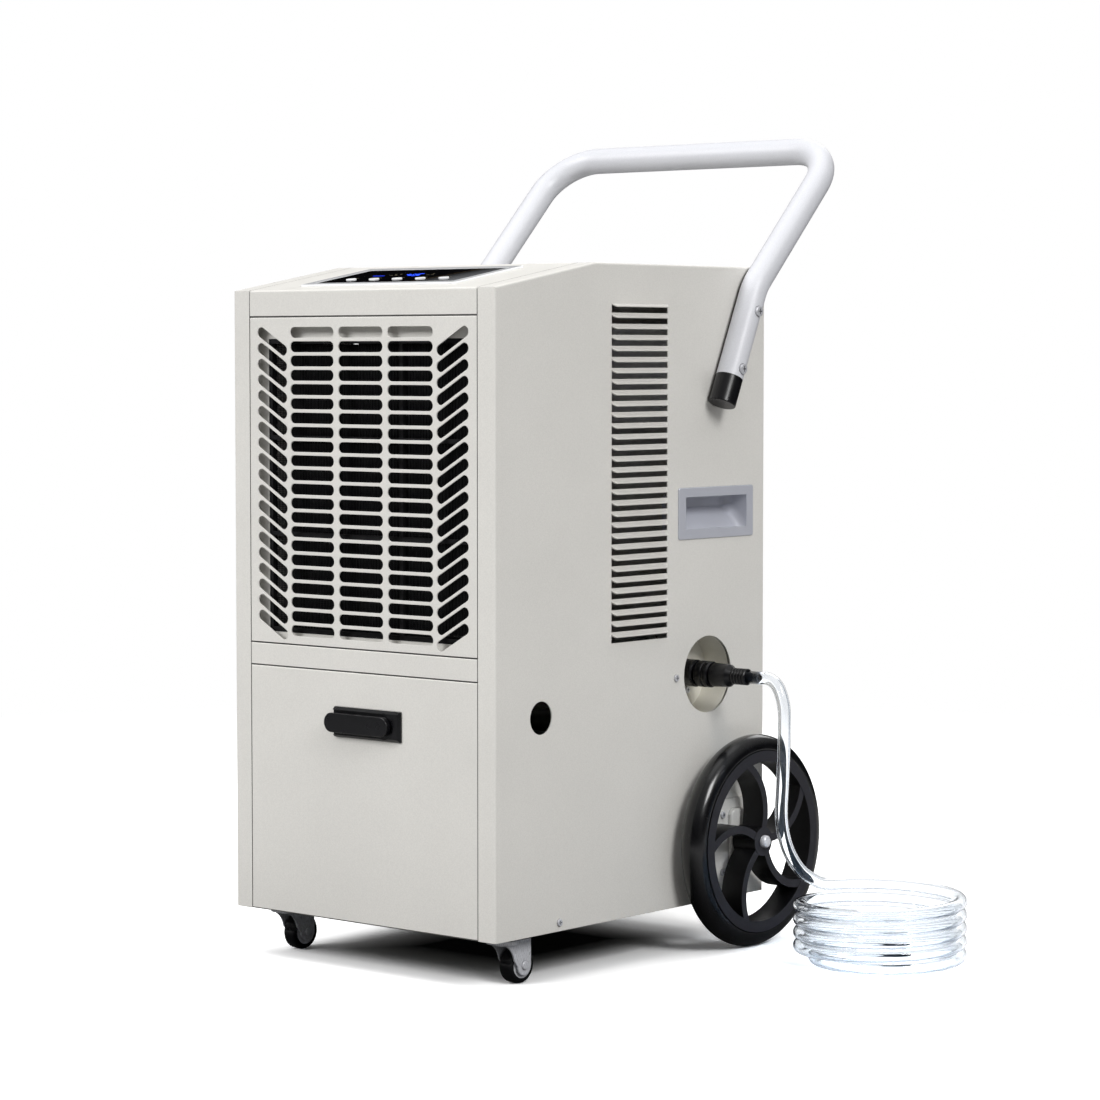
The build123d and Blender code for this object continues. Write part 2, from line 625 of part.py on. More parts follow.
MOTOR_Y = SPIDER_Y + 4.0
MOTOR_L = 62.0
FAN_SHAFT_R = 4.0
with BuildPart() as fan_motor:
    disc(front_plane(MOTOR_Y), (0, FAN_Z), 42, -MOTOR_L)
    fillet(fan_motor.edges().group_by(Axis.Y)[-1], 8)
    disc(front_plane(MOTOR_Y), (0, FAN_Z), FAN_SHAFT_R + RUNNING_GAP, -30, Mode.SUBTRACT)
save(fan_motor, "fan_motor")

with BuildPart() as fan_rotor:
    disc(front_plane(ROTOR_Y[0]), (0, FAN_Z), 40, -(ROTOR_Y[1] - ROTOR_Y[0]))
    fillet(fan_rotor.edges().group_by(Axis.Y)[0], 6)
    disc(front_plane(ROTOR_Y[1] - 1), (0, FAN_Z), FAN_SHAFT_R, -(MOTOR_Y + 28 - ROTOR_Y[1]))
    blade_mid = (ROTOR_Y[0] + ROTOR_Y[1]) / 2
    blade_pitch = radians(24)
    for k in range(5):
        a = radians(72 * k)
        radial = (cos(a), 0, sin(a))
        tangent = Vector(-sin(a) * cos(blade_pitch), sin(blade_pitch), cos(a) * cos(blade_pitch))
        normal = Vector(*radial).cross(tangent)
        root = Plane(origin=(0, blade_mid, FAN_Z), x_dir=radial, z_dir=normal)
        with BuildSketch(root.offset(-1.25)):
            with BuildLine():
                Polyline((30, -22), (30, 22), (FAN_R - 8, 34), (FAN_R, 12), (FAN_R - 4, -28), close=True)
            make_face()
        extrude(amount=2.5)
save(fan_rotor, "fan_rotor")

with BuildPart() as electrical_box:
    plate(Plane.XY.offset(Z_BASE + 560), (60, 190), (180, 84), 110)
    fillet(electrical_box.edges().filter_by(Axis.Z), 5)
    with BuildSketch(front_plane(148)):
        with Locations((60, Z_BASE + 615)):
            Rectangle(160, 90)
            with GridLocations(130, 70, 2, 2):
                Circle(3, mode=Mode.SUBTRACT)
    extrude(amount=1.5)
save(electrical_box, "electrical_box")

# ---------------------------------------------------------------- control panel
with BuildPart() as control_bezel:
    with BuildSketch(slope_plane()):
        with Locations((0, BEZEL_MID)):
            RectangleRounded(BEZEL_W, BEZEL_L, 3)
    extrude(amount=BEZEL_H)
    fillet(control_bezel.faces().sort_by_distance((0, Y_FRONT + BEZEL_MID, Z_FRONT + 60))[0].edges(), 1.2)
    plate(slope_plane(-14), (0, BEZEL_MID), (BEZEL_W - 18, BEZEL_L - 18), 14)
    plate(slope_plane(BEZEL_H - 1.4), (0, BEZEL_MID), (GLASS_W, GLASS_L), 5, Mode.SUBTRACT)
    with BuildSketch(slope_plane(-14)):
        with Locations((0, BUTTON_MID)):
            with GridLocations(BUTTON_PITCH, 1, 5, 1):
                Ellipse(BUTTON_W / 2 + 0.3, BUTTON_L / 2 + 0.3)
    extrude(amount=20, mode=Mode.SUBTRACT)
    plate(slope_plane(-12), (0, BEZEL_MID), (BEZEL_W - 22, BEZEL_L - 22), 10, Mode.SUBTRACT)
save(control_bezel, "control_bezel")

with BuildPart() as control_glass:
    plate(slope_plane(BEZEL_H - 1.4), (0, BEZEL_MID), (GLASS_W - 0.2, GLASS_L - 0.2), 1.0)
    with BuildSketch(slope_plane(-2)):
        with Locations((0, BUTTON_MID)):
            with GridLocations(BUTTON_PITCH, 1, 5, 1):
                Ellipse(BUTTON_W / 2 + 0.2, BUTTON_L / 2 + 0.2)
    extrude(amount=8, mode=Mode.SUBTRACT)
save(control_glass, "control_glass")

BUTTONS = ("button_power", "button_mode", "button_down", "button_up", "button_timer")
for index, button_name in enumerate(BUTTONS):
    button_x = (index - 2) * BUTTON_PITCH
    with BuildPart() as button:
        with BuildSketch(slope_plane(-4)):
            with Locations((button_x, BUTTON_MID)):
                Ellipse(BUTTON_W / 2, BUTTON_L / 2)
        extrude(amount=4 + BEZEL_H + 0.7)
        above = slope_plane(10).from_local_coords((button_x, BUTTON_MID, 0))
        fillet(button.edges().sort_by_distance(above)[0], 0.7)
    save(button, button_name)

# ---------------------------------------------------------------- side fittings
# Finger space: deepest under its upper edge, sloping out to the lower one, rounded at its rear end.
with BuildPart() as grip_scoop:
    mouth_top = GRIP_YZ[1] + GRIP_MOUTH_H / 2
    mouth_low = GRIP_YZ[1] - GRIP_MOUTH_H / 2
    with BuildSketch(front_plane(GRIP_YZ[0] - GRIP_MOUTH_W / 2)):
        with BuildLine():
            Polyline(
                (X_SIDE + 4, mouth_top),
                (X_SIDE - GRIP_DEPTH, mouth_top),
                (X_SIDE - GRIP_DEPTH, mouth_top - GRIP_FLAT),
                (X_SIDE - GRIP_SILL, mouth_low),
                (X_SIDE + 4, mouth_low),
                close=True,
            )
        make_face()
    extrude(amount=-GRIP_MOUTH_W)
    rear_edges = grip_scoop.faces().sort_by(Axis.Y)[-1].edges()
    upright = rear_edges.filter_by(lambda edge: abs((edge % 0.5).X) < 0.9)
    fillet(upright.sort_by(Axis.X)[:2], GRIP_REAR_R)

with BuildPart() as recess_grip:
    with BuildSketch(side_plane(X_SIDE)):
        with Locations(GRIP_YZ):
            RectangleRounded(GRIP_W, GRIP_H, 3)
    extrude(amount=1.6)
    fillet(recess_grip.faces().sort_by(Axis.X)[-1].edges(), 1.0)
    with BuildSketch(side_plane(X_SIDE - GRIP_DEPTH - 2)):
        with Locations(GRIP_YZ):
            RectangleRounded(GRIP_MOUTH_W + 5, GRIP_MOUTH_H + 5, 6)
    extrude(amount=GRIP_DEPTH + 2)
    add(grip_scoop.part, mode=Mode.SUBTRACT)

with BuildPart() as recess_handles:
    add(recess_grip.part)
    mirror(recess_grip.part, about=Plane.YZ)
save(recess_handles, "recess_handles")

CUP_R = PORT_R + 1.0
CUP_LIP_X = X_SIDE - 5.0
with BuildPart() as drain_port_cup:
    disc(side_plane(SOCKET_BACK_X), PORT_YZ, CUP_R + 1.2, CUP_LIP_X - SOCKET_BACK_X)
    disc(side_plane(SOCKET_BACK_X + SHEET), PORT_YZ, CUP_R, CUP_LIP_X - SOCKET_BACK_X, Mode.SUBTRACT)
    for s in (-1, 1):
        lug = (PORT_YZ[0], PORT_YZ[1] + s * (CUP_R + 5))
        plate(side_plane(CUP_LIP_X - SHEET), lug, (16, 10), SHEET)
        tab = (lug[0], lug[1] + s * 4.2)
        plate(side_plane(CUP_LIP_X - SHEET), tab, (16, SHEET), X_INSIDE - CUP_LIP_X + SHEET)
    disc(side_plane(SOCKET_BACK_X), PORT_YZ, 8.0, SHEET, Mode.SUBTRACT)
    disc(side_plane(SOCKET_BACK_X), (PORT_YZ[0] + 12, PORT_YZ[1] - 22), SCREW_HOLE_R, SHEET, Mode.SUBTRACT)
save(drain_port_cup, "drain_port_cup")


def turned_along_x(profile):
    """Revolve a profile of (x, radius) points about the drain port axis."""
    axis_plane = Plane(origin=(0, PORT_YZ[0], PORT_YZ[1]), x_dir=(1, 0, 0), z_dir=(0, -1, 0))
    with BuildSketch(axis_plane) as section:
        with BuildLine():
            Polyline(*profile, close=True)
        make_face()
    revolve(section.sketch, axis=Axis((0, PORT_YZ[0], PORT_YZ[1]), (1, 0, 0)))


SOCKET_X = SOCKET_BACK_X + SHEET
COLLAR_X = (189.5, 208.5)
PLUG_SPAN = (211.5, 238.0)
BARB_END = 259.0
SPIGOT_END = 276.0
SPIGOT_R = HOSE_BORE_R
INNER_R = 10.0
with BuildPart() as drain_socket:
    turned_along_x(
        [
            (SOCKET_BACK_X - 16, 4),
            (SOCKET_BACK_X - 16, 5),
            (SOCKET_BACK_X - 13, 5),
            (SOCKET_BACK_X - 8, 7.9),
            (SOCKET_X, 7.9),
            (SOCKET_X, 16.3),
            (SOCKET_X + 8, 16.3),
            (SOCKET_X + 10, 15.0),
            (SOCKET_X + 13, 16.0),
            (SOCKET_X + 24, 16.0),
            (SOCKET_X + 26, 14.6),
            (SOCKET_X + 26, INNER_R),
            (PLUG_SPAN[0] - 1, INNER_R),
            (PLUG_SPAN[0] - 1, 4),
        ]
    )
save(drain_socket, "drain_socket")

with BuildPart() as release_collar:
    turned_along_x(
        [
            (COLLAR_X[0], INNER_R + RUNNING_GAP),
            (COLLAR_X[0], 14.4),
            (COLLAR_X[0] + 2, 15.4),
            (COLLAR_X[0] + 9, 15.4),
            (COLLAR_X[0] + 10, 14.6),
            (COLLAR_X[0] + 12, 14.6),
            (COLLAR_X[0] + 13, 15.4),
            (COLLAR_X[1] - 2, 15.4),
            (COLLAR_X[1], 14.2),
            (COLLAR_X[1], INNER_R + RUNNING_GAP),
        ]
    )
save(release_collar, "release_collar")

BARB_RIBS = 5
with BuildPart() as drain_plug:
    profile = [
        (PLUG_SPAN[0] - 1, 4),
        (PLUG_SPAN[0] - 1, 12.0),
        (PLUG_SPAN[0], 14.1),
        (PLUG_SPAN[0] + 20, 13.2),
        (PLUG_SPAN[1] - 5, 13.0),
        (PLUG_SPAN[1], 9.0),
    ]
    rib_pitch = (BARB_END - PLUG_SPAN[1]) / BARB_RIBS
    for rib in range(BARB_RIBS):
        x0 = PLUG_SPAN[1] + rib * rib_pitch
        profile += [(x0 + 0.4, 7.8), (x0 + rib_pitch * 0.35, 9.6), (x0 + rib_pitch * 0.8, 9.6)]
    profile += [(BARB_END, 8.6), (BARB_END, SPIGOT_R), (SPIGOT_END - 1, SPIGOT_R)]
    profile += [(SPIGOT_END, 5.0), (SPIGOT_END, 4)]
    turned_along_x(profile)
save(drain_plug, "drain_plug")


def rounded_run(points, share=0.48):
    """Straight lines through the points, each corner rounded as widely as its two lines allow."""
    stops = [Vector(*point) for point in points]
    pieces = []
    here = stops[0]
    for before, corner, after in zip(stops, stops[1:], stops[2:]):
        back = (before - corner).normalized()
        onward = (after - corner).normalized()
        half_turn = radians(180 - back.get_angle(onward)) / 2
        if half_turn < 1e-4:
            continue
        reach = share * min((before - corner).length, (after - corner).length)
        radius = reach / tan(half_turn)
        crown = corner + (back + onward).normalized() * (radius / cos(half_turn) - radius)
        pieces.append(Line(here, corner + back * reach).edge())
        pieces.append(ThreePointArc(corner + back * reach, crown, corner + onward * reach).edge())
        here = corner + onward * reach
    pieces.append(Line(here, stops[-1]).edge())
    return Wire(pieces)


HOSE_STEP = 20


def hose_points():
    """Corners of the drain hose after its first straight: down, round the floor coil, and in."""
    y0 = PORT_YZ[0]
    points = [
        (298, y0, Z_BASE + 267.5),
        (311, y0, Z_BASE + 240),
        (311, y0, Z_BASE + 190),
        (309, y0, Z_BASE + 150),
        (306.5, y0, Z_BASE + 112),
        (307, y0 + 5, Z_BASE + 84),
        (309, y0 + 17, Z_BASE + 60),
        (311.5, y0 + 36, Z_BASE + 40),
    ]
    corner_r = COIL_R / cos(radians(HOSE_STEP / 2))
    last_turn = 180 - 4 * 360 - 230
    angle = 170
    while angle > last_turn - 90:
        before_floor = angle - last_turn
        tuck = min(max((60 - before_floor) / 150, 0), 1)
        radius = corner_r - 16 * tuck * tuck * (3 - 2 * tuck)
        height = max(COIL_TOP_Z - (180 - angle) / 360 * COIL_PITCH, HOSE_R + 0.1)
        a = radians(angle)
        points.append((COIL_MID[0] + radius * cos(a), COIL_MID[1] + radius * sin(a), height))
        angle -= HOSE_STEP
    inward = [(-69, -28), (-71, -4), (-60, 18), (-36, 27)]
    points += [(COIL_MID[0] + x, COIL_MID[1] + y, HOSE_R + 0.1) for x, y in inward]
    return points


HOSE_START = (BARB_END + 0.2, *PORT_YZ)
HOSE_MOUTH = (COIL_MID[0] + 20, COIL_MID[1] + 27, HOSE_R + 0.1)
hose_run = rounded_run([HOSE_START, *hose_points(), HOSE_MOUTH])


def hose_skin(radius):
    """Side faces and end discs of a round bar swept along the hose's run."""
    opening = Wire(Edge.make_circle(radius, Plane(origin=HOSE_START, z_dir=(1, 0, 0))))
    bar = Solid.sweep(Face(opening), path=hose_run)
    return bar.faces().filter_by(GeomType.PLANE, reverse=True), bar.faces().filter_by(GeomType.PLANE)


# The hose is its outer and inner skins, closed by a ring at each end.
outer_skin, outer_ends = hose_skin(HOSE_R)
inner_skin, inner_ends = hose_skin(HOSE_BORE_R)
rings = []
for outer_end in outer_ends:
    inner_end = inner_ends.sort_by_distance(outer_end.center())[0]
    rings.append(Face(outer_end.outer_wire(), [inner_end.outer_wire()]))
drain_hose = Solid(Shell([*outer_skin, *inner_skin, *rings]))
drain_hose.label = "drain_hose"
export_step(drain_hose, "parts/drain_hose.step")

# ---------------------------------------------------------------- tank drawer
BACK_RETURN = 12.0
with BuildPart() as drawer_front:
    drawer_low = Z_BASE + GAP
    drawer_mid = (0, (drawer_low + DRAWER_TOP) / 2)
    drawer_size = (2 * HALF_FRONT, DRAWER_TOP - drawer_low)
    plate(front_plane(Y_FRONT), drawer_mid, drawer_size, -SHEET)
    for s in (-1, 1):
        side_return = (s * (HALF_FRONT - SHEET / 2), drawer_mid[1] + 1.5)
        plate(front_plane(Y_FRONT), side_return, (SHEET, drawer_size[1] - 3), -BACK_RETURN)
        plate(front_plane(Y_FRONT), (s * 120, Z_BASE + 40), (40, 30), -(BACK_RETURN + 1.0))
    plate(front_plane(Y_FRONT), (0, DRAWER_TOP - SHEET / 2), (2 * HALF_FRONT, SHEET), -HEM)
    plate(front_plane(Y_FRONT), (0, drawer_low + SHEET + 1.5), (2 * HALF_FRONT, SHEET), -BACK_RETURN)
    fillet(drawer_front.faces().sort_by(Axis.Y)[0].edges(), 1.2)
    disc(front_plane(Y_FRONT), (LATCH_X, LATCH_Z), SHAFT_R + 0.4, -SHEET, Mode.SUBTRACT)
save(drawer_front, "drawer_front")

TANK_X = 158.0
TANK_Y = (Y_FRONT + BACK_RETURN + 1.0, Y_FRONT + 285.0)
TANK_Z = (Z_BASE + SHEET + 1.5, Z_BASE + 196.0)
TANK_WALL = 2.5
FLOAT_X = (-112.0, -82.0)
FLOAT_PIVOT = (TANK_Y[1] - 16.0, TANK_Z[1] - 14.0)
FLOAT_PIN_R = 2.5
with BuildPart() as water_tank:
    tank_mid = (0, (TANK_Y[0] + TANK_Y[1]) / 2)
    tank_size = (2 * TANK_X, TANK_Y[1] - TANK_Y[0])
    with BuildSketch(Plane.XY.offset(TANK_Z[0])):
        with Locations(tank_mid):
            RectangleRounded(*tank_size, 18)
    extrude(amount=TANK_Z[1] - TANK_Z[0])
    fillet(water_tank.faces().sort_by(Axis.Z)[0].edges(), 8)
    with BuildPart(mode=Mode.PRIVATE) as tank_hollow:
        with BuildSketch(Plane.XY.offset(TANK_Z[0] + TANK_WALL)):
            with Locations(tank_mid):
                RectangleRounded(tank_size[0] - 2 * TANK_WALL, tank_size[1] - 2 * TANK_WALL, 15.5)
        extrude(amount=TANK_Z[1] - TANK_Z[0])
        fillet(tank_hollow.faces().sort_by(Axis.Z)[0].edges(), 6)
    add(tank_hollow.part, mode=Mode.SUBTRACT)
    for x in FLOAT_X:
        with BuildSketch(side_plane(x - 1.5)):
            with Locations((FLOAT_PIVOT[0] + 6, FLOAT_PIVOT[1] - 1)):
                Rectangle(19.5, 14)
            with Locations(FLOAT_PIVOT):
                Circle(FLOAT_PIN_R + RUNNING_GAP, mode=Mode.SUBTRACT)
        extrude(amount=3)
save(water_tank, "water_tank")

with BuildPart() as tank_float:
    disc(side_plane(FLOAT_X[0] - 1.5), FLOAT_PIVOT, FLOAT_PIN_R, FLOAT_X[1] - FLOAT_X[0] + 3)
    float_mid = (FLOAT_X[0] + FLOAT_X[1]) / 2
    plate(side_plane(float_mid - 4), (FLOAT_PIVOT[0] - 20, FLOAT_PIVOT[1] - 1), (42, 6), 8)
    with BuildSketch(Plane.XY.offset(FLOAT_PIVOT[1] - 26)):
        with Locations((float_mid, FLOAT_PIVOT[0] - 50)):
            RectangleRounded(56, 34, 6)
    extrude(amount=22)
save(tank_float, "tank_float")

with BuildPart() as latch_base:
    base_mid = ((LATCH_BASE_X[0] + LATCH_BASE_X[1]) / 2, LATCH_Z + 0.4)
    base_size = (LATCH_BASE_X[1] - LATCH_BASE_X[0], LATCH_BASE_H)
    plate(front_plane(Y_FRONT), base_mid, base_size, LATCH_BASE_T)
    rim = latch_base.faces().sort_by(Axis.Y)[0].edges().sort_by(Axis.X)[1:]
    chamfer(rim, 3.0)
    with BuildSketch(front_plane(Y_FRONT - LATCH_BASE_T + 1.5)):
        with Locations((LATCH_X - 60, LATCH_Z)):
            Rectangle(120, 2 * LEVER_R + 6)
        with Locations((LATCH_X, LATCH_Z)):
            Circle(LEVER_R + 3.8)
    extrude(amount=5, mode=Mode.SUBTRACT)
    disc(front_plane(Y_FRONT), (LATCH_X, LATCH_Z), SHAFT_R + RUNNING_GAP, LATCH_BASE_T, Mode.SUBTRACT)
    disc(front_plane(Y_FRONT - 2.0), (LATCH_X + 14.5, LATCH_Z - 11.0), 0.9, 3.5)
save(latch_base, "latch_base")

LEVER_BACK_Y = Y_FRONT - LATCH_BASE_T - 0.4
CAM_Y = (Y_FRONT + 7.0, Y_FRONT + 10.0)
CAM_L = 66.0
with BuildPart() as latch_lever:
    with BuildSketch(front_plane(LEVER_BACK_Y)):
        with Locations((LATCH_X - LEVER_REACH / 2, LATCH_Z)):
            SlotOverall(LEVER_REACH + 2 * LEVER_R, 2 * LEVER_R)
    extrude(amount=LEVER_T)
    fillet(latch_lever.faces().sort_by(Axis.Y)[0].edges(), 0.9)
    disc(front_plane(LEVER_BACK_Y), (LATCH_X, LATCH_Z), SHAFT_R, LEVER_BACK_Y - CAM_Y[1])
save(latch_lever, "latch_lever")

with BuildPart() as latch_cam:
    with BuildSketch(front_plane(CAM_Y[1])):
        with Locations((LATCH_X + CAM_L / 2, LATCH_Z)):
            SlotCenterToCenter(CAM_L, 14)
        with Locations((LATCH_X, LATCH_Z)):
            Circle(9)
            Circle(SHAFT_R, mode=Mode.SUBTRACT)
    extrude(amount=CAM_Y[1] - CAM_Y[0])
save(latch_cam, "latch_cam")

# ---------------------------------------------------------------- push handle
HANDLE_PATH = [
    (HANDLE_X, *HANDLE_END),
    (HANDLE_X, *HANDLE_KNEE),
    (HANDLE_X, *HANDLE_BAR),
    (-HANDLE_X, *HANDLE_BAR),
    (-HANDLE_X, *HANDLE_KNEE),
    (-HANDLE_X, *HANDLE_END),
]
LEG_DIR = Vector(0, HANDLE_KNEE[0] - HANDLE_END[0], HANDLE_KNEE[1] - HANDLE_END[1]).normalized()
SPOT_FACE_X = HANDLE_X + TUBE_R - 1.2
with BuildPart() as handle_tube:
    with BuildLine() as handle_line:
        FilletPolyline(*HANDLE_PATH, radius=HANDLE_BEND_R)
    with BuildSketch(Plane(origin=HANDLE_PATH[0], z_dir=LEG_DIR)):
        Circle(TUBE_R)
        Circle(TUBE_R - TUBE_WALL, mode=Mode.SUBTRACT)
    sweep(path=handle_line.wires()[0])
    for plane in (side_plane(-HANDLE_X - TUBE_R), side_plane(HANDLE_X - TUBE_R)):
        with BuildSketch(plane):
            with Locations(*HANDLE_SCREWS):
                Circle(3.2)
        extrude(amount=2 * TUBE_R, mode=Mode.SUBTRACT)
    for s in (-1, 1):
        with BuildSketch(side_plane(s * SPOT_FACE_X)):
            with Locations(*HANDLE_SCREWS):
                Circle(6.3)
        extrude(amount=s * 4, mode=Mode.SUBTRACT)
save(handle_tube, "handle_tube")

with BuildPart() as handle_caps:
    for s in (-1, 1):
        end = Vector(s * HANDLE_X, *HANDLE_END)
        with BuildSketch(Plane(origin=end, z_dir=-LEG_DIR)):
            Circle(TUBE_R)
        extrude(amount=HANDLE_CAP_L)
    fillet(handle_caps.edges().filter_by(GeomType.CIRCLE).group_by(Axis.Z)[0], 1.2)
save(handle_caps, "handle_caps")

with BuildPart() as handle_screws:
    for s in (-1, 1):
        with BuildSketch(side_plane(s * SPOT_FACE_X)):
            with Locations(*HANDLE_SCREWS):
                Circle(6.0)
        extrude(amount=s * 3.8)
    heads = handle_screws.edges().filter_by(GeomType.CIRCLE)
    fillet(heads.group_by(Axis.X)[0] + heads.group_by(Axis.X)[-1], 1.2)
    for s in (-1, 1):
        with BuildSketch(side_plane(s * (X_INSIDE - 5))):
            with Locations(*HANDLE_SCREWS):
                Circle(3.0)
        extrude(amount=s * (SPOT_FACE_X - X_INSIDE + 5))
        with BuildSketch(side_plane(s * (SPOT_FACE_X + 3.8))):
            with Locations(*HANDLE_SCREWS):
                Rectangle(6.4, 1.2)
                Rectangle(1.2, 6.4)
        extrude(amount=-s * 1.4, mode=Mode.SUBTRACT)
save(handle_screws, "handle_screws")

# ---------------------------------------------------------------- rear wheels
WHEEL_YZ = (WHEEL_Y, WHEEL_R)
BRACKET_T = 2.5
BOSS_X = X_SIDE + 10.5
HUB_X = (X_SIDE + 11.5, X_SIDE + 44.0)
AXLE_END = X_SIDE + 47.0


def right_bracket():
    """Pressed bracket on the side panel: an arched plate with a raised rib that carries the axle."""
    with BuildPart() as bracket:
        with BuildSketch(side_plane(X_SIDE)):
            with Locations((WHEEL_Y, WHEEL_R - 4)):
                RectangleRounded(92, 104, 30)
            with Locations((WHEEL_Y, WHEEL_R - 36)):
                Rectangle(92, 60)
        extrude(amount=BRACKET_T)
        with BuildSketch(side_plane(X_SIDE)):
            with Locations((WHEEL_Y, WHEEL_R - 8)):
                RectangleRounded(28, 88, 8)
        extrude(amount=8)
        outer = bracket.faces().sort_by(Axis.X)[-1]
        fillet(outer.edges(), 2.5)
        disc(side_plane(X_SIDE), WHEEL_YZ, 11, BOSS_X - X_SIDE)
        disc(side_plane(X_SIDE), WHEEL_YZ, AXLE_R, 20, Mode.SUBTRACT)
        with BuildSketch(side_plane(X_SIDE)):
            with Locations(*bracket_screws()):
                Circle(SCREW_HOLE_R)
        extrude(amount=BRACKET_T, mode=Mode.SUBTRACT)
    return bracket.part


def bracket_screws():
    """Screw positions of one axle bracket, as (y, z)."""
    return [
        (WHEEL_Y + side * 25, WHEEL_R + rise) for side in (-1, 1) for rise in (30, -38)
    ]


with BuildPart() as axle_brackets:
    add(right_bracket())
    mirror(right_bracket(), about=Plane.YZ)
save(axle_brackets, "axle_brackets")

with BuildPart() as stub_axles:
    for s in (-1, 1):
        disc(side_plane(s * X_SIDE), WHEEL_YZ, AXLE_R, s * (AXLE_END - X_SIDE))
save(stub_axles, "stub_axles")

CAP_R = 7.5
CAP_END = AXLE_END + 4.2
with BuildPart() as right_cap:
    disc(side_plane(HUB_X[1] + 0.5), WHEEL_YZ, CAP_R, CAP_END - HUB_X[1] - 0.5)
    fillet(right_cap.edges().group_by(Axis.X)[-1], 4)
    disc(side_plane(HUB_X[1] + 0.5), WHEEL_YZ, AXLE_R, AXLE_END - HUB_X[1] - 0.5, Mode.SUBTRACT)

with BuildPart() as axle_caps:
    add(right_cap.part)
    mirror(right_cap.part, about=Plane.YZ)
save(axle_caps, "axle_caps")


def on_wheel(radius, angle):
    """Point of the wheel's side view at a radius and an angle in degrees."""
    return (WHEEL_Y + radius * cos(radians(angle)), WHEEL_R + radius * sin(radians(angle)))


SPOKE_T = 9.2
SPOKE_FIRST = 85.0
SPOKE_SWEEP = 21.0
RIM_X = (X_SIDE + 13.0, X_SIDE + 44.0)
with BuildPart() as rim_right:
    disc(side_plane(RIM_X[0]), WHEEL_YZ, RIM_OUTER_R, RIM_X[1] - RIM_X[0])
    disc(side_plane(RIM_X[0]), WHEEL_YZ, RIM_INNER_R, RIM_X[1] - RIM_X[0], Mode.SUBTRACT)
    disc(side_plane(HUB_X[0]), WHEEL_YZ, HUB_R, HUB_X[1] - HUB_X[0])
    with BuildSketch(side_plane(RIM_X[0] + 1)):
        for spoke in range(SPOKES):
            first = SPOKE_FIRST + spoke * 360 / SPOKES
            with BuildLine() as curve:
                ThreePointArc(
                    on_wheel(HUB_R - 4, first),
                    on_wheel(57, first + 4),
                    on_wheel(RIM_INNER_R + 3, first + SPOKE_SWEEP + 2),
                )
            trace(curve.line, line_width=SPOKE_T)
    extrude(amount=RIM_X[1] - RIM_X[0] - 1.5)
    disc(side_plane(HUB_X[0]), WHEEL_YZ, AXLE_R + RUNNING_GAP, 50, Mode.SUBTRACT)
save(rim_right, "rim_right")

with BuildPart() as rim_left:
    mirror(rim_right.part, about=Plane.YZ)
save(rim_left, "rim_left")

with BuildPart() as tyre_right:
    with BuildSketch(Plane(origin=(0, *WHEEL_YZ), x_dir=(1, 0, 0), z_dir=(0, -1, 0))):
        with Locations((WHEEL_X, WHEEL_R - TYRE_SECTION_R)):
            Circle(TYRE_SECTION_R)
        with Locations((WHEEL_X, RIM_OUTER_R - 30)):
            Rectangle(80, 60, mode=Mode.SUBTRACT)
    revolve(axis=Axis((0, *WHEEL_YZ), (1, 0, 0)))
save(tyre_right, "tyre_right")

with BuildPart() as tyre_left:
    mirror(tyre_right.part, about=Plane.YZ)
save(tyre_left, "tyre_left")

# ---------------------------------------------------------------- casters
CASTER_AXLE_Y = CASTER_PIVOT_Y + CASTER_TRAIL
FORK_TOP = 49.5
FORK_HALF = 12.0
LEG_T = 2.0
RACE_Z = 52.0
with BuildPart() as caster_plates:
    for s in (-1, 1):
        pivot = (s * CASTER_X, CASTER_PIVOT_Y)
        with BuildSketch(Plane.XY.offset(Z_BASE - 2)):
            with Locations(pivot):
                RectangleRounded(44, 50, 4)
        extrude(amount=2)
        disc(Plane.XY.offset(RACE_Z + 0.1), pivot, 20, Z_BASE - 2 - RACE_Z)
        disc(Plane.XY.offset(44.0), pivot, KINGPIN_R, 10)
        disc(Plane.XY.offset(44.0), pivot, 8, 2.8)
save(caster_plates, "caster_plates")


def caster_fork(s):
    """Stamped fork of one caster: two legs, a bridge and the ball race disc on top."""
    x = s * CASTER_X
    y = CASTER_AXLE_Y
    z = CASTER_R
    with BuildPart() as fork:
        with BuildSketch(side_plane(x - FORK_HALF)):
            with BuildLine():
                Line((y - 36, FORK_TOP), (y + 11, FORK_TOP))
                Line((y + 11, FORK_TOP), (y + 11, z))
                ThreePointArc((y + 11, z), (y, z - 11), (y - 11, z))
                Line((y - 11, z), (y - 17, z + 7))
                ThreePointArc((y - 17, z + 7), (y - 24.5, z + 20.5), (y - 36, z + 26))
                Line((y - 36, z + 26), (y - 36, FORK_TOP))
            make_face()
        extrude(amount=2 * FORK_HALF)
        channel = (y - 10, (FORK_TOP - 2.5) / 2)
        between_legs = 2 * (FORK_HALF - LEG_T)
        plate(side_plane(x - between_legs / 2), channel, (80, FORK_TOP - 2.5), between_legs, Mode.SUBTRACT)
        pivot = (x, CASTER_PIVOT_Y)
        disc(Plane.XY.offset(FORK_TOP - 2.5), pivot, 19, RACE_Z - FORK_TOP + 2.5)
        fillet(fork.edges().filter_by(GeomType.CIRCLE).group_by(Axis.Z)[-1], 1.0)
        disc(Plane.XY.offset(FORK_TOP - 3), pivot, KINGPIN_R + RUNNING_GAP, 10, Mode.SUBTRACT)
        disc(side_plane(x - 20), (y, z), CASTER_PIN_R, 40, Mode.SUBTRACT)
    return fork.part


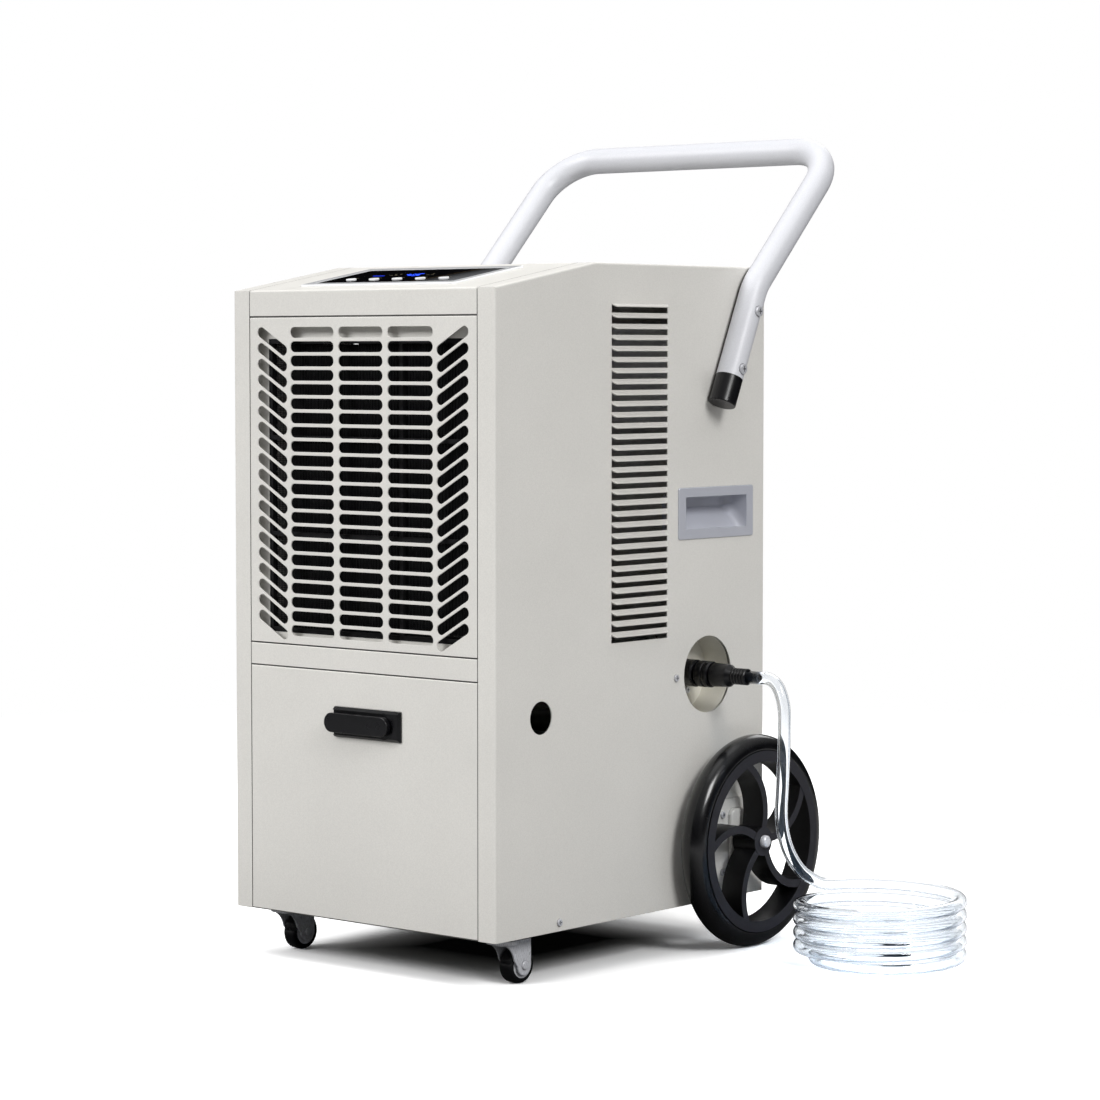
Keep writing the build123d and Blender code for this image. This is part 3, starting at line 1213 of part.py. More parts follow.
def caster_pin(s):
    """Axle rivet of one caster, with a domed head outside each leg."""
    centre = (CASTER_AXLE_Y, CASTER_R)
    with BuildPart() as pin:
        disc(side_plane(s * CASTER_X - FORK_HALF), centre, CASTER_PIN_R, 2 * FORK_HALF)
        for end, grow in ((FORK_HALF, 2.0), (-FORK_HALF, -2.0)):
            disc(side_plane(s * CASTER_X + end), centre, 5, grow)
        rims = pin.edges().filter_by(GeomType.CIRCLE)
        fillet(rims.group_by(Axis.X)[0] + rims.group_by(Axis.X)[-1], 1.5)
    return pin.part


def caster_wheel(s):
    """Wheel of one caster: crowned tread, dished sides and a hub that stands out to the legs."""
    x = s * CASTER_X
    half = CASTER_WIDTH / 2
    with BuildPart() as wheel:
        disc(side_plane(x - half), (CASTER_AXLE_Y, CASTER_R), CASTER_R, CASTER_WIDTH)
        fillet(wheel.edges().filter_by(GeomType.CIRCLE), 3.5)
        for end, grow in ((half, -1.2), (-half, 1.2)):
            disc(side_plane(x + end), (CASTER_AXLE_Y, CASTER_R), 14.5, grow, Mode.SUBTRACT)
            disc(side_plane(x + end + grow), (CASTER_AXLE_Y, CASTER_R), 6.5, -grow * 1.8)
        disc(side_plane(x - 20), (CASTER_AXLE_Y, CASTER_R), CASTER_PIN_R + RUNNING_GAP, 40, Mode.SUBTRACT)
    return wheel.part


for s, side_name in ((-1, "left"), (1, "right")):
    with BuildPart() as fork_piece:
        add(caster_fork(s))
    save(fork_piece, f"caster_fork_{side_name}")
    with BuildPart() as pin_piece:
        add(caster_pin(s))
    save(pin_piece, f"caster_pin_{side_name}")
    with BuildPart() as wheel_piece:
        add(caster_wheel(s))
    save(wheel_piece, f"caster_wheel_{side_name}")

# ---------------------------------------------------------------- power cord
HOOK_OUT = 46.0
with BuildPart() as cord_hooks:
    for z, way in zip(HOOK_Z, (-1, 1)):
        disc(front_plane(Y_BACK), (HOOK_X, z), 14, -HOOK_OUT)
        with BuildSketch(front_plane(Y_BACK + HOOK_OUT - 4)):
            with Locations((HOOK_X, z + way * 14)):
                RectangleRounded(26, 54, 12)
        extrude(amount=-4)
        disc(front_plane(Y_BACK), (HOOK_X, z), 20, -4)
    fillet(cord_hooks.faces().sort_by(Axis.Y)[-2:].edges(), 1.5)
    for z in HOOK_Z:
        disc(front_plane(Y_BACK - 8), (HOOK_X, z), 2.0, -8)
save(cord_hooks, "cord_hooks")


CORD_STEP = 45


def cord_points(turns, radius, layer):
    """Cord centre line wound over the upper hook and under the lower one, one layer per turn."""
    low, high = HOOK_Z
    over = [(angle, high) for angle in range(180, -1, -CORD_STEP)]
    under = [(angle, low) for angle in range(0, -181, -CORD_STEP)]
    corner_r = radius / cos(radians(CORD_STEP / 2))
    stops = (over + under) * turns + over
    points = []
    for k, (angle, z) in enumerate(stops):
        a = radians(angle)
        y = Y_BACK + 9 + layer * k / len(over + under)
        points.append((HOOK_X + corner_r * cos(a), y, z + corner_r * sin(a)))
    return points


PLUG_X = 30.0
PLUG_Z = Z_BASE + 300.0
CORD_START = (GLAND_XZ[0], Y_BACK - 10, GLAND_XZ[1])
wound = cord_points(3, 14 + CORD_R + 0.6, 2 * CORD_R + 0.4)
PLUG_Y = wound[-1][1] + 1.0
cord_run = rounded_run(
    [
        CORD_START,
        (GLAND_XZ[0], Y_BACK + 24, GLAND_XZ[1]),
        (GLAND_XZ[0] + 6, Y_BACK + 26, GLAND_XZ[1] + 60),
        (-90, Y_BACK + 20, GLAND_XZ[1] + 200),
        (-34, Y_BACK + 9, HOOK_Z[0] + 10),
        *wound,
        (24, PLUG_Y, HOOK_Z[0] + 60),
        (PLUG_X, PLUG_Y, HOOK_Z[0] - 20),
        (PLUG_X, PLUG_Y, PLUG_Z + 2),
    ]
)
with BuildPart() as power_cord:
    plug_xy = (PLUG_X, PLUG_Y)
    disc(Plane.XY.offset(PLUG_Z), plug_xy, 6.5, 25)
    disc(Plane.XY.offset(PLUG_Z - 36), plug_xy, 17, 38)
    fillet(power_cord.edges().filter_by(GeomType.CIRCLE).filter_by(lambda e: abs(e.radius - 17) < 0.1), 5)
    for dx in (-9.5, 9.5):
        disc(Plane.XY.offset(PLUG_Z - 55), (PLUG_X + dx, PLUG_Y), 2.4, 20)
    with BuildSketch(Plane(origin=CORD_START, z_dir=(0, 1, 0))):
        Circle(CORD_R)
    sweep(path=cord_run)
    disc(front_plane(Y_BACK), GLAND_XZ, 10, -8)
save(power_cord, "power_cord")

# ---------------------------------------------------------------- small screws
HEAD_R = 4.0
HEAD_H = 2.2
SHANK_R = 2.0


def pan_screws(plane, places, way, shank):
    """Cross-recessed pan heads standing on a plane, with plain shanks going into it."""
    with BuildPart() as screws:
        with BuildSketch(plane):
            with Locations(*places):
                Circle(HEAD_R)
        extrude(amount=way * HEAD_H)
        outward = Axis(plane.origin, plane.z_dir * way)
        fillet(screws.faces().filter_by(GeomType.PLANE).group_by(outward)[-1].edges(), 0.7)
        with BuildSketch(plane.offset(way * HEAD_H)):
            with Locations(*places):
                Rectangle(4.4, 0.9)
                Rectangle(0.9, 4.4)
        extrude(amount=-way * 1.0, mode=Mode.SUBTRACT)
        with BuildSketch(plane):
            with Locations(*places):
                Circle(SHANK_R)
        extrude(amount=-way * shank)
    return screws.part


with BuildPart() as panel_screws:
    for s in (-1, 1):
        add(pan_screws(side_plane(s * X_SIDE), SIDE_SCREWS, s, 8))
        add(pan_screws(side_plane(s * (X_SIDE + BRACKET_T)), bracket_screws(), s, BRACKET_T))
    add(pan_screws(front_plane(Y_BACK), REAR_SCREWS, -1, 8))
    add(pan_screws(side_plane(SOCKET_X), [(PORT_YZ[0] + 12, PORT_YZ[1] - 22)], 1, SOCKET_X - SOCKET_BACK_X + 3))
save(panel_screws, "panel_screws")
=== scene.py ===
import json
import math

import bpy
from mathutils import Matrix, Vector


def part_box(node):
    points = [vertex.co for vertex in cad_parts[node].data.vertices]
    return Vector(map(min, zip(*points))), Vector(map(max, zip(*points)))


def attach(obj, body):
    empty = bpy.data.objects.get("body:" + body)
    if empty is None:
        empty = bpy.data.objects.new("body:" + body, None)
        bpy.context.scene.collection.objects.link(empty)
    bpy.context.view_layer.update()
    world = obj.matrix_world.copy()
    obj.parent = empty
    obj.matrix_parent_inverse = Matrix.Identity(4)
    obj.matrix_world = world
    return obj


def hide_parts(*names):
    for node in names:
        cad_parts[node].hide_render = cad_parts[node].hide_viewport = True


# Looks for a mobile commercial dehumidifier, in metres, in the row frame: +Z up, front grille towards -Y.

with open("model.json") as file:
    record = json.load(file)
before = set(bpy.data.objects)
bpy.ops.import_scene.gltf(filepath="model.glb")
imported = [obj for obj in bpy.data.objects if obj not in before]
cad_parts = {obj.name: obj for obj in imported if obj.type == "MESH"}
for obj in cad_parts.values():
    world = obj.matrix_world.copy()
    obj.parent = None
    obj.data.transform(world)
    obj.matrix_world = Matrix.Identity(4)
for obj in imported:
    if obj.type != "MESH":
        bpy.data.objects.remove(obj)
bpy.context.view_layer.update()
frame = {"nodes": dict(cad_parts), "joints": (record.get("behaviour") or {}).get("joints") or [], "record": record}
NODES = frame["nodes"]
RECORD = frame["record"]
JOINTS = {joint["name"]: joint for joint in frame["joints"]}
MM = 0.001


# ---------------------------------------------------------------- shader building blocks
def new_material(name):
    """Node material holding only a Principled shader; returns the material, its tree and the shader."""
    mat = bpy.data.materials.new(name)
    mat.use_nodes = True
    tree = mat.node_tree
    return mat, tree, tree.nodes["Principled BSDF"]


def linear(rgb):
    """Display colour from 0 to 255 as a linear colour with alpha."""
    shares = [c / 255 for c in rgb]
    return [s / 12.92 if s <= 0.04045 else ((s + 0.055) / 1.055) ** 2.4 for s in shares] + [1.0]


def object_coords(tree):
    return tree.nodes.new("ShaderNodeTexCoord").outputs["Object"]


def noise(tree, grain, detail=2.0, stretch=(1, 1, 1)):
    """Noise whose lumps are about grain metres across; stretch below 1 lengthens them on that axis."""
    mapping = tree.nodes.new("ShaderNodeMapping")
    mapping.inputs["Scale"].default_value = [s / grain for s in stretch]
    texture = tree.nodes.new("ShaderNodeTexNoise")
    texture.inputs["Scale"].default_value = 1.0
    texture.inputs["Detail"].default_value = detail
    tree.links.new(object_coords(tree), mapping.inputs["Vector"])
    tree.links.new(mapping.outputs["Vector"], texture.inputs["Vector"])
    return texture.outputs["Fac"]


def fit_range(tree, value, low, high, from_low=0.3, from_high=0.7):
    """Map a 0 to 1 signal onto low to high, clamped."""
    node = tree.nodes.new("ShaderNodeMapRange")
    node.inputs["From Min"].default_value = from_low
    node.inputs["From Max"].default_value = from_high
    node.inputs["To Min"].default_value = low
    node.inputs["To Max"].default_value = high
    tree.links.new(value, node.inputs["Value"])
    return node.outputs["Result"]


def feed(tree, socket, value):
    """Put a constant or another node's output into a socket."""
    if isinstance(value, (int, float)):
        socket.default_value = value
    elif isinstance(value, (list, tuple)):
        socket.default_value = value
    else:
        tree.links.new(value, socket)


def mix_colour(tree, factor, first, second, blend="MIX"):
    node = tree.nodes.new("ShaderNodeMix")
    node.data_type = "RGBA"
    node.blend_type = blend
    feed(tree, node.inputs[0], factor)
    feed(tree, node.inputs[6], first)
    feed(tree, node.inputs[7], second)
    return node.outputs[2]


def maths(tree, operation, first, second=0.0):
    node = tree.nodes.new("ShaderNodeMath")
    node.operation = operation
    feed(tree, node.inputs[0], first)
    feed(tree, node.inputs[1], second)
    return node.outputs[0]


def bump(tree, height, depth, normal=None):
    """Bump of a given depth in metres."""
    node = tree.nodes.new("ShaderNodeBump")
    node.inputs["Strength"].default_value = 1.0
    node.inputs["Distance"].default_value = depth
    tree.links.new(height, node.inputs["Height"])
    if normal is not None:
        tree.links.new(normal, node.inputs["Normal"])
    return node.outputs["Normal"]


def edge_signal(tree, radius):
    """Softened normal round sharp edges, and a mask that is 1 on those edges."""
    bevel = tree.nodes.new("ShaderNodeBevel")
    bevel.samples = 6
    bevel.inputs["Radius"].default_value = radius
    flat = tree.nodes.new("ShaderNodeNewGeometry").outputs["Normal"]
    dot = tree.nodes.new("ShaderNodeVectorMath")
    dot.operation = "DOT_PRODUCT"
    tree.links.new(bevel.outputs["Normal"], dot.inputs[0])
    tree.links.new(flat, dot.inputs[1])
    mask = fit_range(tree, dot.outputs["Value"], 1.0, 0.0, 0.8, 0.995)
    return bevel.outputs["Normal"], mask


def occlusion_shade_signal(tree, reach):
    """Ambient occlusion used as painted shade: 1 in the open, falling towards 0 in corners and slots narrower than
    reach.
    """
    node = tree.nodes.new("ShaderNodeAmbientOcclusion")
    node.samples = 4
    node.inputs["Distance"].default_value = reach
    return node.outputs["AO"]


def split_axes(tree, vector):
    node = tree.nodes.new("ShaderNodeSeparateXYZ")
    tree.links.new(vector, node.inputs[0])
    return node.outputs["X"], node.outputs["Y"], node.outputs["Z"]


# ---------------------------------------------------------------- materials
WALL_DEPTH = 8 * MM
GRILLE_DEPTH = 60 * MM
COVER_DEPTH = 70 * MM
FADE_DEPTH = 4 * MM


def inside_cabinet(tree):
    """1 for surfaces well inside the cabinet, behind the grille and the skin, 0 outside; the mask for the painted
    shade inside the cabinet.
    """
    x, y, z = split_axes(tree, object_coords(tree))
    tray_low, tray_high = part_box("base_tray")
    cover_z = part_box("side_panel_left")[1].z - COVER_DEPTH
    depth = maths(tree, "SUBTRACT", tray_high.x - WALL_DEPTH, maths(tree, "ABSOLUTE", x))
    depth = maths(tree, "MINIMUM", depth, maths(tree, "SUBTRACT", y, tray_low.y + GRILLE_DEPTH))
    depth = maths(tree, "MINIMUM", depth, maths(tree, "SUBTRACT", tray_high.y - WALL_DEPTH, y))
    depth = maths(tree, "MINIMUM", depth, maths(tree, "SUBTRACT", z, tray_high.z))
    depth = maths(tree, "MINIMUM", depth, maths(tree, "SUBTRACT", cover_z, z))
    return fit_range(tree, depth, 0.0, 1.0, 0.0, FADE_DEPTH)


def seam_shade(tree, node):
    """Painted shade and highlight at a front panel's seams: dark lower edge where the gap's shadow falls, shaded
    side edges, and a slightly lighter upper edge as a painted highlight.
    """
    x, _, z = split_axes(tree, object_coords(tree))
    low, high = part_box(node)
    below = fit_range(tree, maths(tree, "SUBTRACT", z, low.z), 0.06, 1.0, 0.8 * MM, 1.2 * MM)
    from_side = maths(tree, "SUBTRACT", (high.x - low.x) / 2, maths(tree, "ABSOLUTE", x))
    beside = fit_range(tree, from_side, 0.2, 1.0, 0.6 * MM, 0.9 * MM)
    # Painted highlight: the upper edge is lightened by 12 per cent.
    above = fit_range(tree, maths(tree, "SUBTRACT", high.z, z), 1.12, 1.0, 0.7 * MM, 1.1 * MM)
    return maths(tree, "MULTIPLY", maths(tree, "MULTIPLY", below, beside), above)


def powder_coat(name, rgb, roughness=0.48, peel=60e-6, seams=""):
    """Sprayed and baked paint on sheet metal: orange peel, fine speckle, lighter sharp edges, painted shade in
    seams and corners, and painted shade inside the cabinet.
    """
    mat, tree, shader = new_material(name)
    colour = linear(rgb)
    cloud = fit_range(tree, noise(tree, 160 * MM, 3.0), 0.965, 1.02)
    speckle = fit_range(tree, noise(tree, 1.2 * MM, 1.0), 0.955, 1.035)
    tone = maths(tree, "MULTIPLY", cloud, speckle)
    # Painted shade: surfaces well inside the cabinet are darkened to 5 per cent.
    tone = maths(tree, "MULTIPLY", tone, fit_range(tree, inside_cabinet(tree), 1.0, 0.05, 0.0, 1.0))
    # Painted seam shade and highlight along the front panel's edges.
    if seams:
        tone = maths(tree, "MULTIPLY", tone, seam_shade(tree, seams))
    base = tree.nodes.new("ShaderNodeVectorMath")
    base.operation = "SCALE"
    base.inputs[0].default_value = colour[:3]
    tree.links.new(tone, base.inputs["Scale"])
    normal, edges = edge_signal(tree, 0.7 * MM)
    # Sharp edges are lightened towards near white.
    edge_lightening = maths(tree, "MULTIPLY", edges, 0.35)
    lighter = mix_colour(tree, edge_lightening, base.outputs[0], linear((244, 243, 240)))
    # Painted shade: corners, seams and slots are darkened down to 3 per cent by ambient occlusion.
    occlusion_factor = fit_range(tree, occlusion_shade_signal(tree, 4 * MM), 0.03, 1.0, 0.12, 0.66)
    occlusion_shaded = tree.nodes.new("ShaderNodeVectorMath")
    occlusion_shaded.operation = "SCALE"
    tree.links.new(lighter, occlusion_shaded.inputs[0])
    tree.links.new(occlusion_factor, occlusion_shaded.inputs["Scale"])
    tree.links.new(occlusion_shaded.outputs[0], shader.inputs["Base Color"])
    gloss = fit_range(tree, noise(tree, 20 * MM, 4.0), roughness - 0.05, roughness + 0.06)
    feed(tree, shader.inputs["Roughness"], gloss)
    feed(tree, shader.inputs["Normal"], bump(tree, noise(tree, 2.1 * MM, 1.5), peel, normal))
    shader.inputs["Coat Weight"].default_value = 0.12
    shader.inputs["Coat Roughness"].default_value = 0.25
    return mat


def moulded(name, rgb, roughness, grain=0.0006, depth=14e-6, coat=0.0, tint=0.12, shine=0.5, metal=0.0):
    """Injection-moulded plastic or cast surface: spark-eroded grain, faint flow clouds, rubbed edges."""
    mat, tree, shader = new_material(name)
    dark = [c * (1 - tint) for c in linear(rgb)[:3]] + [1.0]
    light = [min(c * (1 + tint) + 0.002, 1) for c in linear(rgb)[:3]] + [1.0]
    clouds = fit_range(tree, noise(tree, 30 * MM, 5.0), 0.0, 1.0)
    grains = noise(tree, grain, 2.0)
    spots = fit_range(tree, grains, 0.0, 1.0)
    mixed = mix_colour(tree, maths(tree, "MULTIPLY", maths(tree, "ADD", clouds, spots), 0.5), dark, light)
    normal, edges = edge_signal(tree, 0.4 * MM)
    rubbed = [min(c * 1.6 + 0.01, 1) for c in linear(rgb)[:3]] + [1.0]
    edge_lightening = maths(tree, "MULTIPLY", edges, 0.5)
    feed(tree, shader.inputs["Base Color"], mix_colour(tree, edge_lightening, mixed, rubbed))
    gloss = fit_range(tree, noise(tree, 12 * MM, 4.0), roughness * 0.88, roughness * 1.14)
    feed(tree, shader.inputs["Roughness"], gloss)
    feed(tree, shader.inputs["Normal"], bump(tree, grains, depth, normal))
    shader.inputs["Coat Weight"].default_value = coat
    shader.inputs["Coat Roughness"].default_value = 0.08
    shader.inputs["Specular IOR Level"].default_value = shine
    shader.inputs["Metallic"].default_value = metal
    return mat


def plated(name, rgb, roughness, stretch, metal=0.6):
    """Rolled or plated steel with fine drawing lines along one axis, a few dull patches, and painted shade
    darkening its recesses.
    """
    mat, tree, shader = new_material(name)
    lines = noise(tree, 0.5 * MM, 2.0, stretch)
    patches = fit_range(tree, noise(tree, 10 * MM, 5.0), 0.0, 1.0, 0.35, 0.75)
    bright = linear(rgb)
    dull = [c * 0.88 for c in bright[:3]] + [1.0]
    recess_shade = [c * 0.12 for c in bright[:3]] + [1.0]
    # Painted shade: recesses such as screw slots darken to 12 per cent of the plate colour.
    occlusion_factor = fit_range(tree, occlusion_shade_signal(tree, 2.5 * MM), 0.0, 1.0, 0.25, 0.85)
    surface = mix_colour(tree, patches, bright, dull)
    feed(tree, shader.inputs["Base Color"], mix_colour(tree, occlusion_factor, recess_shade, surface))
    feed(tree, shader.inputs["Roughness"], fit_range(tree, lines, roughness * 0.8, roughness * 1.3))
    normal, _ = edge_signal(tree, 0.4 * MM)
    feed(tree, shader.inputs["Normal"], bump(tree, lines, 1.5e-6, normal))
    shader.inputs["Metallic"].default_value = metal
    return mat


FIN_PITCH = 2.2 * MM
WAVE_PHASE = 20  # radians that Blender's wave texture turns in one unit of its scaled coordinates


def finned(name, rgb):
    """Fin stock: thin upright fins one pitch apart, drawn as light stripes with dark stripes of painted shade
    between them, with a little bent-fin waviness.
    """
    mat, tree, shader = new_material(name)
    wave = tree.nodes.new("ShaderNodeTexWave")
    wave.bands_direction = "X"
    wave.inputs["Scale"].default_value = 2 * math.pi / (WAVE_PHASE * FIN_PITCH)
    wave.inputs["Distortion"].default_value = 0.4
    wave.inputs["Detail"].default_value = 1.0
    tree.links.new(object_coords(tree), wave.inputs["Vector"])
    fins = wave.outputs["Fac"]
    # Painted shade in the gaps between fins: a quarter of the fin colour.
    dark = [c * 0.25 for c in linear(rgb)[:3]] + [1.0]
    stained = fit_range(tree, noise(tree, 50 * MM, 4.0), 0.0, 0.5)
    striped = mix_colour(tree, fins, dark, linear(rgb))
    feed(tree, shader.inputs["Base Color"], mix_colour(tree, stained, striped, dark))
    feed(tree, shader.inputs["Normal"], bump(tree, fins, 0.5 * MM))
    shader.inputs["Roughness"].default_value = 0.5
    shader.inputs["Specular IOR Level"].default_value = 0.25
    return mat


def clear_plastic(name, rgb, roughness=0.03, density=6.0):
    """Clear flexible vinyl: refracting, faintly blue in depth, letting shadow rays through."""
    shadow_tint = (0.93, 0.95, 0.97, 1)
    mat, tree, shader = new_material(name)
    shader.inputs["Base Color"].default_value = linear((252, 253, 254))
    shader.inputs["Transmission Weight"].default_value = 1.0
    shader.inputs["IOR"].default_value = 1.42
    haze = fit_range(tree, noise(tree, 15 * MM, 3.0), roughness * 0.5, roughness * 1.6)
    feed(tree, shader.inputs["Roughness"], haze)
    absorb = tree.nodes.new("ShaderNodeVolumeAbsorption")
    absorb.inputs["Color"].default_value = linear(rgb)
    absorb.inputs["Density"].default_value = density
    path = tree.nodes.new("ShaderNodeLightPath")
    see_through = tree.nodes.new("ShaderNodeBsdfTransparent")
    see_through.inputs["Color"].default_value = shadow_tint
    switch = tree.nodes.new("ShaderNodeMixShader")
    out = tree.nodes["Material Output"]
    tree.links.new(path.outputs["Is Shadow Ray"], switch.inputs[0])
    tree.links.new(shader.outputs[0], switch.inputs[1])
    tree.links.new(see_through.outputs[0], switch.inputs[2])
    tree.links.new(switch.outputs[0], out.inputs["Surface"])
    tree.links.new(absorb.outputs[0], out.inputs["Volume"])
    return mat


def wheel_plastic(name):
    """Moulded wheel: dark grey grained faces, with painted shade making surfaces that do not face along the axle,
    such as the spoke sides, deeper black.
    """
    mat = moulded(name, (37, 37, 43), 0.42, 0.0005, 12e-6, tint=0.08, shine=0.3)
    tree = mat.node_tree
    shader = tree.nodes["Principled BSDF"]
    across, _, _ = split_axes(tree, tree.nodes.new("ShaderNodeTexCoord").outputs["Normal"])
    # Painted shade: the colour falls to 12 per cent on surfaces turned away from the axle's direction.
    side_shade = fit_range(tree, maths(tree, "ABSOLUTE", across), 0.12, 1.0, 0.3, 0.9)
    source = shader.inputs["Base Color"].links[0].from_socket
    shade = tree.nodes.new("ShaderNodeVectorMath")
    shade.operation = "SCALE"
    tree.links.new(source, shade.inputs[0])
    tree.links.new(side_shade, shade.inputs["Scale"])
    tree.links.new(shade.outputs[0], shader.inputs["Base Color"])
    return mat


def tyre_rubber(name, roughness=0.24):
    """Polished black tyre with a soft wax bloom."""
    mat, tree, shader = new_material(name)
    bloom = fit_range(tree, noise(tree, 20 * MM, 5.0), 0.0, 1.0, 0.35, 0.8)
    black = mix_colour(tree, bloom, linear((9, 9, 11)), linear((16, 16, 19)))
    feed(tree, shader.inputs["Base Color"], black)
    polish = fit_range(tree, noise(tree, 8 * MM, 4.0), roughness * 0.9, roughness * 1.15)
    feed(tree, shader.inputs["Roughness"], polish)
    feed(tree, shader.inputs["Normal"], bump(tree, noise(tree, 1.2 * MM, 2.0), 3e-6))
    shader.inputs["Coat Weight"].default_value = 0.35
    shader.inputs["Coat Roughness"].default_value = 0.12
    shader.inputs["Specular IOR Level"].default_value = 0.4
    return mat


CASTER_HUB_R = 14.4 * MM
CASTER_HUB_EDGE = 0.5 * MM


def caster_wheel(name, side):
    """Black tread round a light grey hub, split by the distance from the caster's own axle."""
    axle = JOINTS[f"caster_{side}_roll"]["pos_m"]
    mat = tyre_rubber(name)
    tree = mat.node_tree
    shader = tree.nodes["Principled BSDF"]
    offset = tree.nodes.new("ShaderNodeVectorMath")
    offset.operation = "SUBTRACT"
    offset.inputs[1].default_value = axle
    tree.links.new(object_coords(tree), offset.inputs[0])
    _, y, z = split_axes(tree, offset.outputs[0])
    squares = maths(tree, "ADD", maths(tree, "MULTIPLY", y, y), maths(tree, "MULTIPLY", z, z))
    radius = maths(tree, "SQRT", squares)
    hub = fit_range(tree, radius, 1.0, 0.0, CASTER_HUB_R, CASTER_HUB_R + CASTER_HUB_EDGE)
    tread = shader.inputs["Base Color"].links[0].from_socket
    feed(tree, shader.inputs["Base Color"], mix_colour(tree, hub, tread, linear((205, 206, 210))))
    return mat


LINE_START = 0.36
LINE_LEAN = 0.35
LINE_HALF_WIDTH = 0.45 * MM


def display_glass(name):
    """Black display window, fading to grey at its right end behind a thin leaning bronze line."""
    mat, tree, shader = new_material(name)
    x, y, _ = split_axes(tree, object_coords(tree))
    low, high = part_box("control_glass")
    lean = maths(tree, "MULTIPLY", maths(tree, "SUBTRACT", y, low.y), LINE_LEAN)
    along = maths(tree, "SUBTRACT", x, lean)
    start = high.x * LINE_START
    grey = fit_range(tree, along, 0.0, 0.32, start, high.x)
    line = maths(tree, "COMPARE", along, start)
    line.node.inputs[2].default_value = LINE_HALF_WIDTH
    cloud = fit_range(tree, noise(tree, 20 * MM, 3.0), 0.9, 1.1)
    shade = maths(tree, "MULTIPLY", grey, cloud)
    window = mix_colour(tree, shade, linear((8, 8, 10)), linear((215, 218, 222)))
    feed(tree, shader.inputs["Base Color"], mix_colour(tree, line, window, linear((128, 102, 62))))
    feed(tree, shader.inputs["Roughness"], fit_range(tree, noise(tree, 10 * MM, 3.0), 0.05, 0.11))
    feed(tree, shader.inputs["Normal"], bump(tree, noise(tree, 12 * MM, 2.0), 6e-6))
    return mat


def lit(name, rgb, strength):
    """Glowing display figure, a little uneven in brightness."""
    mat, tree, shader = new_material(name)
    glow = fit_range(tree, noise(tree, 3 * MM, 2.0), strength * 0.8, strength * 1.2)
    shader.inputs["Base Color"].default_value = linear([c * 0.3 for c in rgb])
    shader.inputs["Emission Color"].default_value = linear(rgb)
    feed(tree, shader.inputs["Emission Strength"], glow)
    shader.inputs["Roughness"].default_value = 0.2
    return mat


BODY_RGB = (216, 214, 209)
MATERIALS = {
    "body_paint": powder_coat("body_powder_coat", BODY_RGB),
    "handle_paint": powder_coat("handle_powder_coat", (209, 210, 215), 0.42, 30e-6),
    "grip_plastic": moulded(
        "grip_plastic", (192, 194, 203), 0.32, 0.0007, 6e-6, coat=0.1, tint=0.04, metal=0.2
    ),
    "cup_plastic": moulded("port_cup_plastic", (222, 219, 208), 0.5, 0.0007, 16e-6, tint=0.05),
    "bezel_white": moulded("bezel_gloss_white", (240, 241, 243), 0.16, 0.002, 4e-6, coat=0.5, tint=0.02),
    "panel_black": display_glass("display_glass"),
    "button_white": moulded("button_white", (244, 244, 245), 0.3, 0.0005, 6e-6, coat=0.3, tint=0.03),
    "filter_black": moulded("filter_black", (18, 18, 20), 0.7, 0.0008, 30e-6, shine=0.2),
    "tank_plastic": moulded("tank_polythene", (214, 220, 226), 0.42, 0.001, 14e-6, tint=0.05),
    "float_foam": moulded("float_foam", (232, 228, 210), 0.85, 0.0015, 60e-6, tint=0.06),
    "black_plastic": moulded(
        "black_moulding", (12, 12, 15), 0.3, 0.0006, 5e-6, coat=0.08, tint=0.2, shine=0.35
    ),
    "zinc_steel": plated("zinc_plate", (212, 213, 218), 0.3, (1, 1, 0.08), 0.4),
    "chrome_steel": plated("bright_plate", (226, 227, 232), 0.28, (1, 1, 0.1), 0.3),
    "tyre_black": tyre_rubber("tyre_rubber"),
    "rim_grey": wheel_plastic("wheel_plastic"),
    # Near-black fin colour: painted shade of the dark cabinet interior.
    "fin_aluminium": finned("shaded_fins", (15, 16, 20)),
    "copper": plated("copper_tube", (170, 108, 74), 0.32, (0.1, 1, 1)),
    "compressor_black": moulded("compressor_enamel", (22, 22, 24), 0.35, 0.002, 30e-6, coat=0.3),
    "clear_tube": clear_plastic("clear_vinyl", (120, 175, 220), 0.01, 12.0),
    "cord_black": moulded("cable_sheath", (24, 24, 26), 0.5, 0.0008, 20e-6),
}
MATERIALS["caster_tread"] = MATERIALS["tyre_black"]


def paint(obj, mat):
    obj.data.materials.clear()
    obj.data.materials.append(mat)


for part in RECORD["subparts"]:
    paint(NODES[part["node"]], MATERIALS[part["material_slot"]])
for side in ("left", "right"):
    paint(NODES[f"caster_wheel_{side}"], caster_wheel(f"caster_wheel_{side}", side))
paint(NODES["handle_caps"], MATERIALS["black_plastic"])
# Front panels also take the painted seam shade and highlight along their edges.
for front in ("top_cover", "intake_grille", "crossbar_strip", "drawer_front"):
    paint(NODES[front], powder_coat(f"{front}_powder_coat", BODY_RGB, seams=front))


# ---------------------------------------------------------------- mesh helpers
def new_mesh(name, verts, faces, body, mat, smooth=False):
    """Mesh object that rides on a body and takes one material."""
    mesh = bpy.data.meshes.new(name)
    mesh.from_pydata([tuple(v) for v in verts], [], faces)
    mesh.validate()
    mesh.update()
    if smooth:
        mesh.shade_smooth()
    obj = bpy.data.objects.new(name, mesh)
    bpy.context.scene.collection.objects.link(obj)
    mesh.materials.append(mat)
    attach(obj, body)
    return obj


# ---------------------------------------------------------------- tyres
TYRE_SECTION_R = 16 * MM
TYRE_TURNS = 180
CROWN_STEPS = 36
SEAT_STEPS = 6


